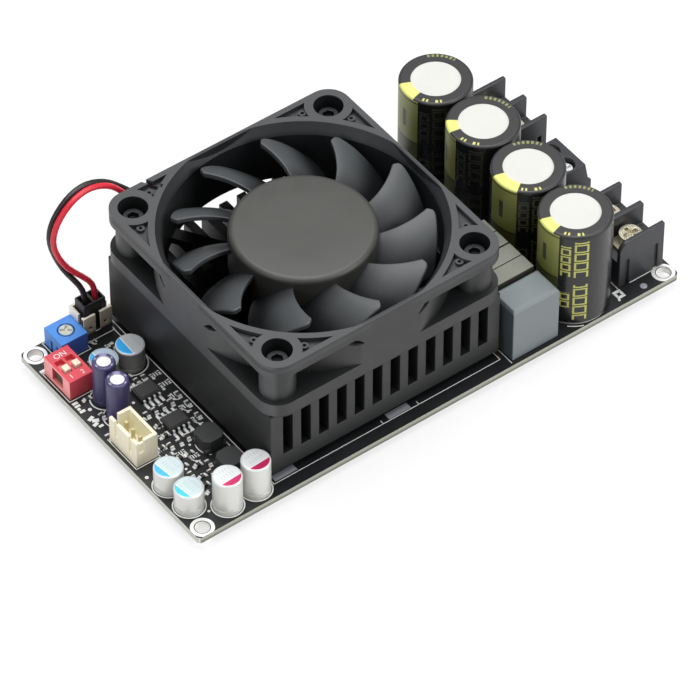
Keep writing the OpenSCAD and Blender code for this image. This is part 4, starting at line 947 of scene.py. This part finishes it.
def small_parts():
    """Chip capacitors and resistors: a ceramic body between two tinned ends on solder pads."""
    ceramic, resistor, tin = bmesh.new(), bmesh.new(), bmesh.new()
    for x, y, turn, tone in SMALL_PARTS:
        middle = Vector((x, y))
        height = PART_HIGH * (0.85 if tone else 1.2)
        plate(resistor if tone else ceramic, middle,
              (PART_LONG - 2 * PART_END + 0.06, PART_WIDE - 0.04, height), turn=turn)
        for side in (-1, 1):
            along = heading(turn) * side
            end = middle + along * (PART_LONG - PART_END) / 2
            plate(tin, end, (PART_END, PART_WIDE, height + 0.02), turn=turn)
            foot = plate(tin, middle + along * (PART_LONG / 2 + FOOT_OUT),
                         (FOOT_LONG, PART_WIDE * FOOT_WIDE, height * FOOT_HIGH), turn=turn)
            for v in foot:
                outer = (v.co.xy / MM - middle).dot(along) > PART_LONG / 2 + FOOT_OUT
                if outer and v.co.z > (BOARD_TOP + height * FOOT_HIGH / 2) * MM:
                    v.co.z = (BOARD_TOP + FOOT_TOE) * MM
    for shape in (ceramic, resistor, tin):
        round_edges(shape, shape.edges[:], PART_ROUND, 1)
    add_piece("chip_capacitors", ceramic, CHIP_CERAMIC, stands_for=["chip_parts"])
    add_piece("chip_resistors", resistor, CHIP_BLACK, stands_for=["chip_parts"])
    add_piece("chip_part_ends", tin, LEAD_TIN, stands_for=["chip_parts"])


# plated through holes and test pads: x, y, radius
PADS = [
    (-44.0, 9.7, 0.34), (-49.7, 0.1, 0.32),
    (-51.4, 6.6, 0.35), (-59.7, 10.4, 0.42), (-44.1, 6.0, 0.35), (-44.0, 2.4, 0.32), (-43.8, -2.2, 0.32),
    (-43.8, -6.5, 0.32), (-50.4, -14.5, 0.32), (-53.4, -14.9, 0.3), (-51.7, -18.1, 0.36), (-40.4, -20.2, 0.3),
    (-55.0, 24.0, 0.3), (-43.6, 20.4, 0.3), (-56.4, -27.0, 0.3), (-57.3, -9.9, 0.35), (-54.9, -4.6, 0.3),
    (-55.3, 0.9, 0.3), (-47.6, 15.0, 0.28), (-48.9, -9.9, 0.28), (-61.2, -12.0, 0.4),
    (47.5, -30.5, 0.3), (56.4, 30.3, 0.4), (20.5, 0.5, 0.35), (31.5, 0.2, 0.35),
]
PAD_RISE = 0.05
PAD_HOLE = 0.08
CORNER_HOLE_X, CORNER_HOLE_Y = 2.5, 2.25
CORNER_RING = (1.78, 2.55)
OP_AMP_X, OP_AMP_YS, OP_AMP_PITCH = -47.8, (7.2, -3.2), 1.27
OP_AMP_REACH = 3.15
OP_AMP_PAD = (0.62, 1.6, INK)
BARE_PLACES = ((-9.0, -27.9), (-38.0, -27.7))
BARE_STRIP = (5.6, 1.7, 2 * INK)
DROP_PLACE = (54.2, -30.3)
DROP_OUTLINE = [(0, BOARD_TOP), (0.8, BOARD_TOP), (0.72, BOARD_TOP + 0.1), (0, BOARD_TOP + 0.16)]
# a small framed mark near the screw terminals: middle, turn and size
FRAMED_MARK = (((48.5, -28.3), 0, (2.0, 0.7)), ((48.5, -29.9), 0, (2.0, 0.7)),
               ((47.8, -29.1), 90, (1.2, 0.6)), ((49.2, -29.1), 90, (1.2, 0.6)))


def board_pads():
    """Tinned pads: corner rings, plated holes, and bare strips at the heatsink's foot."""
    tin, white, dull = bmesh.new(), bmesh.new(), bmesh.new()
    low, high = box_of("circuit_board")
    for x in (low.x + CORNER_HOLE_X, high.x - CORNER_HOLE_X):
        for y in (low.y + CORNER_HOLE_Y, high.y - CORNER_HOLE_Y):
            for level in (BOARD_TOP, -INK):
                hoop(white, (x, y), *CORNER_RING, level)
    for v in white.verts:
        v.co.x = min(max(v.co.x, (low.x + INK) * MM), (high.x - INK) * MM)
        v.co.y = min(max(v.co.y, (low.y + INK) * MM), (high.y - INK) * MM)
    for x, y, radius in PADS:
        hoop(tin, (x, y), PAD_HOLE, radius, thick=PAD_RISE, steps=16)
    for y in OP_AMP_YS:
        for i in range(4):
            for side in (-1, 1):
                plate(tin, (OP_AMP_X + (i - 1.5) * OP_AMP_PITCH, y + side * OP_AMP_REACH), OP_AMP_PAD)
    for middle, turn, size in FRAMED_MARK:
        plate(white, middle, (*size, INK), turn=turn)
    for middle in BARE_PLACES:
        plate(dull, middle, BARE_STRIP)
    lathe(dull, DROP_PLACE, DROP_OUTLINE, 24)
    pads = (("board_pads", tin, PAD_WHITE), ("corner_pads", white, PAD_WHITE), ("bare_pads", dull, PAD_DULL))
    for name, shape, material in pads:
        tidy_normals(shape)
        add_piece(name, shape, material)


board_print()
small_parts()
board_pads()
dress("circuit_board", BOARD_MASK)

# Capacitors


def row_of_boxes(place, angle, half, middle, reach, pitch):
    """A printed row of plain open boxes down a sleeve, as a mask; angles in degrees."""
    step = place["Rise"].math("PINGPONG", pitch / 2)
    row = around(place["Angle"], angle, half) & band(place["Rise"], middle, reach, 0.04)
    rails = ~band(place["Angle"], math.radians(angle), math.radians(half) - 0.055, 0.01)
    apart = ~band(step, 0.0, 0.14, 0.03)
    rungs = band(step, 0.0, 0.5, 0.04)
    return row & apart & (rails | rungs)


def sleeve_finish(name, node, turn, base, rough):
    """A plain shrink sleeve, its place measured from the stripe's direction, and its height."""
    sleeve = finish(name, base, shade=0.2, grain=1200, rough=rough, spread=0.12, bump=0.08)
    low, high = box_of(node)
    return sleeve, place_of(sleeve, foot_of(node), turn), high.z - low.z


# rows of print on a bulk capacitor: angle, half width, depth of the middle, reach and pitch
PRINT_ROWS = ((37, 7.8, 7.2, 4.4, 2.2), (37, 7.8, 18.6, 2.2, 2.2), (61, 11.0, 6.6, 5.2, 2.6),
              (61, 11.0, 19.2, 5.2, 2.6), (150, 11.0, 9.0, 6.5, 2.6), (-75, 11.0, 9.0, 6.5, 2.6))
# rows of ticks on its rim: angle, half width and colour
RIM_TICKS = ((36, 5.0, "#cfcf7a"), (58, 7.0, "#cfcf7a"), (-135, 26.0, "#8b8c5c"))
STRIPE_HALF = 26


def bulk_finish(name, node, turn, ink, patch):
    """Black sleeve with an olive polarity stripe, a pale patch on its rim and rows of print beside it.

    The patch is given by its middle and half width in degrees from the stripe.
    """
    sleeve, place, height = sleeve_finish(name, node, turn, "#1a1b1c", 0.26)
    angle, rise = place["Angle"], place["Rise"]
    rim = ~band(rise, 0.0, height - 0.4, 0.12)
    mark(sleeve, rim, "#303031", 0.42)
    for middle, half, depth, reach, pitch in PRINT_ROWS:
        mark(sleeve, row_of_boxes(place, middle, half, height - depth, reach, pitch), ink, 0.4)
    for middle, half, tone in RIM_TICKS:
        ticks = band(angle.math("PINGPONG", 0.07), 0.0, 0.04, 0.01)
        spot = around(angle, middle, half) & band(place["Radius"], 7.0, 0.4, 0.05)
        mark(sleeve, rim & spot & ticks, tone, 0.4)
    stripe = around(angle, 0, STRIPE_HALF, 0.015) & ~rim
    mark(sleeve, stripe, "#4c4e2a", 0.42)
    mark(sleeve, stripe & band(rise, height, 12.6, 0.1), "#7f8341", 0.42)
    # painted light: the stripe is painted lighter towards the top
    mark(sleeve, stripe & band(rise, height, 5.0, 3.5), "#979b52", 0.42)
    line = band(rise, height - 12.7, 0.2, 0.08) | band(rise, height - 0.95, 0.16, 0.08)
    dash = band(angle, -0.02, 0.07, 0.02) & band(rise, height - 7.0, 2.4, 0.2)
    mark(sleeve, stripe & (line | dash), "#2b2c1c")
    mark(sleeve, around(angle, *patch, 0.015) & rim, "#dfe37f", 0.4)
    return sleeve


# stripe direction, colour of the print, rim patch
BULK_SLEEVES = ((178, "#3c3d33", (-3, 20)), (160, "#3f4036", (-5, 14)), (189, "#55563a", (1, 25)),
                (181, "#b9b95c", (-2, 17)))
for i, (direction, ink, patch) in enumerate(BULK_SLEEVES):
    number = str(i + 1)
    jacket = bulk_finish("sleeve_black_" + number, "bulk_sleeve_" + number, direction, ink, patch)
    eased("bulk_sleeve_" + number, jacket)
    eased("bulk_can_" + number, CAN_ALUMINIUM)

for number in ("1", "2"):
    node = "electrolytic_" + number
    jacket, place, height = sleeve_finish("sleeve_purple_" + number, node, 60.0, "#443f6b", 0.3)
    mark(jacket, around(place["Angle"], 0, 24, 0.02), "#8b84b4", 0.42)
    lid = band(place["Radius"], 0.0, 1.5, 0.05) & band(place["Rise"], height, 0.9, 0.05)
    mark(jacket, lid, "#f4f4f4", 0.4)
    ring = band(place["Radius"], 1.95, 0.2, 0.05) & band(place["Rise"], height, 0.5, 0.05)
    ticks = band(place["Angle"].math("PINGPONG", 0.55), 0.0, 0.16, 0.06)
    mark(jacket, ring & ticks, "#9d98b5", 0.4)
    eased(node, jacket)


def polymer_finish(name, node, turn, ink, chord, side, lid):
    """Bare drawn can with a bright rim; a coloured segment on its lid marks the negative side."""
    low, high = box_of(node)
    height, radius = high.z - low.z, (high.x - low.x) / 2
    can = finish(name, side, shade=0.12, grain=1500, stretch=(1, 1, 0.2), rough=0.34, spread=0.2,
                 bump=0.1, metal=0.25)
    place = place_of(can, foot_of(node), turn)
    across, along = place["Across"], place["Along"]
    top = band(place["Rise"], height, 0.12, 0.04) & band(place["Radius"], 0.0, radius - 0.3, 0.04)
    mark(can, band(place["Rise"], height, 0.4, 0.1) & ~top, "#eef1f1", 0.35)
    mark(can, top, lid, 0.45)
    strokes = (band(along.math("PINGPONG", 0.36), 0.0, 0.15, 0.04)
               & band(across.math("PINGPONG", 0.75), 0.0, 0.42, 0.05))
    field = band(across, chord - 1.9, 1.5, 0.05) & band(along, 0.0, 1.7, 0.05)
    mark(can, top & field & strokes * 0.25, "#9aa3a8", 0.5)
    mark(can, top & band(across, chord + 4.0, 4.0, 0.05), ink, 0.4)
    mark(can, top & band(across, chord, 0.11, 0.05), "#e9eff2", 0.4)
    return can


# the sides of blue_capacitor_1 and blue_capacitor_2 are the same bare can as the others, painted darker as
# shade
for node, turn, ink, chord, side, lid in (
        ("blue_capacitor_1", 178, "#35b4fb", 0.8, "#a3a5a1", "#c3c7ca"),
        ("blue_capacitor_2", 180, "#35b0f2", 1.0, "#a3a5a1", "#b4c6d8"),
        ("blue_capacitor_3", 187, "#45b4e4", 1.4, "#dcdcd8", "#c4d4d5"),
        ("blue_capacitor_4", 187, "#45c4e8", 1.5, "#dcdcd8", "#c4d4d5"),
        ("magenta_capacitor_1", -87, "#cc2a68", 1.25, "#dcdcd8", "#dfe2e3"),
        ("magenta_capacitor_2", -87, "#c21f5c", 1.2, "#dcdcd8", "#dfe2e3")):
    eased(node, polymer_finish("polymer_can_" + node, node, turn, ink, chord, side, lid))

eased("film_capacitor", FILM_GREY, 0.25, 3)

# Other pieces

eased("fan_frame", FRAME_CHARCOAL, 0.25)
eased("heatsink", BLACK_ANODISED, 0.15)
eased("fan_screws", SCREW_BLACK, 0.2)
eased("heatsink_screws", SCREW_STEEL, 0.2)
for number in ("1", "2"):
    eased("barrier_block_" + number, TERMINAL_BLACK, 0.25)
    eased("wire_screw_" + number, SCREW_ZINC, 0.12)
    eased("switch_slider_" + number, SLIDER_IVORY, 0.15)
for number in ("1", "2", "3", "4"):
    eased("barrier_screw_" + number, SCREW_NICKEL, 0.2)
eased("wire_terminal", TERMINAL_BLACK, 0.2)
eased("terminal_contacts", CONTACT_BRASS, 0.1)
eased("input_header", HEADER_IVORY, 0.12)
eased("trimmer_body", TRIMMER_BLUE, 0.15)
eased("choke_cores", CORE_GREY, 0.12)
eased("op_amps", CHIP_BLACK, 0.06)
eased("shielded_inductors", DARK_FERRITE, 0.15)
for node, material in (("solder_joints", SOLDER), ("thermal_pad", SOFT_PAD), ("amplifier_chip", CHIP_BLACK),
                       ("chip_leads", LEAD_TIN), ("fan_shaft", IRON), ("fan_bearing", BRONZE),
                       ("rotor_yoke", IRON), ("rotor_magnet", DARK_FERRITE), ("stator_core", IRON),
                       ("stator_coils", COPPER), ("motor_board", MOTOR_BOARD_GREEN),
                       ("header_pins", PIN_BRASS), ("choke_coils", COPPER)):
    dress(node, material)

# Fan frame pips

PIP_PLACES = [(26.9, 19.6), (19.6, 26.9)]
PIP_RING = (0.4, 0.85)
PIP_RISE = 0.7


def frame_pips():
    """Moulding pips on the floors of the frame's corner pockets."""
    middle = middle_of("fan_frame")
    floor = box_of("fan_frame")[1].z - POCKET_DEPTH
    shape = bmesh.new()
    for across, along in PIP_PLACES:
        for x in (-across, across):
            for y in (-along, along):
                hoop(shape, (middle.x + x, middle.y + y), *PIP_RING, floor, PIP_RISE, 20)
    tidy_normals(shape)
    add_piece("frame_pips", shape, PIP_GREY)


frame_pips()

# Headers, trimmer and switch

HEADER_WALL = 0.8
HEADER_FLOOR = 1.4
END_SLOT = 1.2
END_SLOT_LOW = HEADER_FLOOR + 2.4
FRONT_SLOT = 1.2
FRONT_SLOT_LOW = 1.9
FRONT_SLOT_DEEP = 1.1
FRONT_HOLE = 0.8
FRONT_HOLE_PLACE = 1.9
FRONT_HOLE_LOW, FRONT_HOLE_HIGH = 3.2, 4.0
FRONT_HOLE_DEEP = 0.6
CUT_PAST = 1.0
CROSS_TURN = -37.0
# the window in the switch's side, from its left face, middle and foot
WINDOW_LOW = Vector((-CUT_PAST, -2.12, 1.15))
WINDOW_HIGH = Vector((0.75, 1.6, 4.7))


def fan_header_piece():
    """Open-topped header: one slot and two small holes in its front wall, a slot in each end wall."""
    low, high = box_of("fan_header")
    middle = (low + high) / 2
    shape = bmesh.new()
    plate(shape, middle.xy, high - low, low.z)
    sink_tops(shape, HEADER_WALL, high.z - low.z - HEADER_FLOOR)
    bmesh.ops.recalc_face_normals(shape, faces=shape.faces)
    round_edges(shape, shape.edges[:], 0.1, 2)
    piece = add_piece("fan_header_shell", shape, HEADER_IVORY_IN_SHADE, stands_for=["fan_header"])
    front, above = low.y - CUT_PAST, high.z + CUT_PAST
    cut_out(piece, (middle.x - FRONT_SLOT / 2, front, low.z + FRONT_SLOT_LOW),
            (middle.x + FRONT_SLOT / 2, low.y + FRONT_SLOT_DEEP, above))
    slot = low.y + HEADER_WALL
    for side, end in ((-1, low.x), (1, high.x)):
        hole = middle.x + side * FRONT_HOLE_PLACE
        cut_out(piece, (hole - FRONT_HOLE / 2, front, low.z + FRONT_HOLE_LOW),
                (hole + FRONT_HOLE / 2, low.y + FRONT_HOLE_DEEP, low.z + FRONT_HOLE_HIGH))
        cut_out(piece, (end - CUT_PAST, slot, low.z + END_SLOT_LOW), (end + CUT_PAST, slot + END_SLOT, above))


def header_groove():
    """The input header's near end wall is only grooved where its far one is slotted through."""
    low, high = box_of("input_header")
    shape = bmesh.new()
    size = (END_SLOT, HEADER_WALL - 0.25, high.z - low.z - END_SLOT_LOW - 0.7)
    middle = (low.x + HEADER_WALL + END_SLOT / 2, low.y + HEADER_WALL - size[1] / 2)
    plate(shape, middle, size, low.z + END_SLOT_LOW)
    add_piece("input_header_groove", shape, HEADER_IVORY)


def trimmer_and_switch():
    """The trimmer's cross stands square to the view, and the switch has a slot in its side."""
    rotor = eased("trimmer_rotor", ROTOR_IVORY, 0.06)
    hub = Matrix.Translation(middle_of("trimmer_rotor") * MM)
    rotor.data.transform(hub @ Matrix.Rotation(math.radians(CROSS_TURN), 4, "Z") @ hub.inverted())
    low = box_of("switch_body")[0]
    corner = Vector((low.x, middle_of("switch_body").y, low.z))
    body = eased("switch_body", SWITCH_RED, 0.15)
    cut_out(body, corner + WINDOW_LOW, corner + WINDOW_HIGH)


# words, their place from the switch's middle and their size
SWITCH_WORDS = (("ON", (0, 3.05), 1.9), ("1", (-1.5, -3.35), 1.7), ("2", (1.2, -3.5), 1.7))


def switch_marks():
    """ON and the two positions' numbers, printed on the switch."""
    middle = middle_of("switch_body").xy
    level = box_of("switch_body")[1].z + INK / 2
    shape = bmesh.new()
    for words, place, size in SWITCH_WORDS:
        text = bpy.data.curves.new("switch_words", "FONT")
        text.body = words
        text.size = size * MM
        text.extrude = INK / 2 * MM
        text.align_x, text.align_y = "CENTER", "CENTER"
        holder = put("switch_words", text)
        mesh = finished_mesh(holder)
        mesh.transform(Matrix.Translation(Vector((*(middle + Vector(place)), level)) * MM))
        shape.from_mesh(mesh)
        bpy.data.objects.remove(holder)
        bpy.data.meshes.remove(mesh)
    add_piece("switch_marks", shape, INK_WHITE)


fan_header_piece()
header_groove()
trimmer_and_switch()
switch_marks()

# Stage and light

WHITE = (1, 1, 1, 1)
PAPER_GLOW = 0.75
# name, place, size and power, in metres and watts
LIGHTS = (("top_light", (0.1, 0.15, 1.2), 1.3, 21.0), ("front_light", (0.5, -0.85, 0.55), 0.6, 5.0),
          ("side_light", (-0.9, -0.2, 0.5), 0.5, 1.5))
LIGHT_AIM = Vector((0, 0, 0.01))


def set_floor():
    """Plain pale floor, which looks white to the camera and in reflections."""
    shape = bmesh.new()
    bmesh.ops.create_grid(shape, x_segments=1, y_segments=1, size=3,
                          matrix=Matrix.Translation((0, 0, cad_low.z - 0.0002)))
    floor = put("studio_floor", mesh_of("studio_floor", shape))
    paper = bpy.data.materials.new("studio_paper")
    paper.use_nodes = True
    tree = paper.node_tree
    shader = tree.nodes["Principled BSDF"]
    shader.inputs["Base Color"].default_value = (0.93, 0.93, 0.93, 1)
    shader.inputs["Roughness"].default_value = 0.9
    glow = add_node(tree, "Emission", {"Color": WHITE})
    rays = values_of(tree, add_node(tree, "LightPath"))
    seen = rays["Is Camera Ray"] | rays["Is Glossy Ray"] | rays["Is Transmission Ray"]
    mixed = add_node(tree, "MixShader", {0: seen * PAPER_GLOW, 1: shader.outputs[0], 2: glow.outputs[0]})
    feed(tree, mixed.outputs[0], tree.nodes["Material Output"].inputs["Surface"])
    floor.data.materials.append(paper)


def set_light():
    """Soft studio light from three sides under a dim sky that the camera sees as white."""
    world = bpy.data.worlds.new("studio")
    scene.world = world
    world.use_nodes = True
    tree = world.node_tree
    rays = values_of(tree, add_node(tree, "LightPath"))
    seen = rays["Is Camera Ray"] | rays["Is Transmission Ray"]
    sky = mix_colour(tree, seen, (0.15, 0.15, 0.155, 1), WHITE)
    feed(tree, sky, tree.nodes["Background"].inputs["Color"])
    for name, spot, size, watts in LIGHTS:
        lamp = bpy.data.lights.new(name, "AREA")
        lamp.size = size
        lamp.energy = watts
        turn = (LIGHT_AIM - Vector(spot)).to_track_quat("-Z", "Y").to_matrix().to_4x4()
        put(name, lamp).matrix_world = Matrix.Translation(spot) @ turn


set_floor()
set_light()
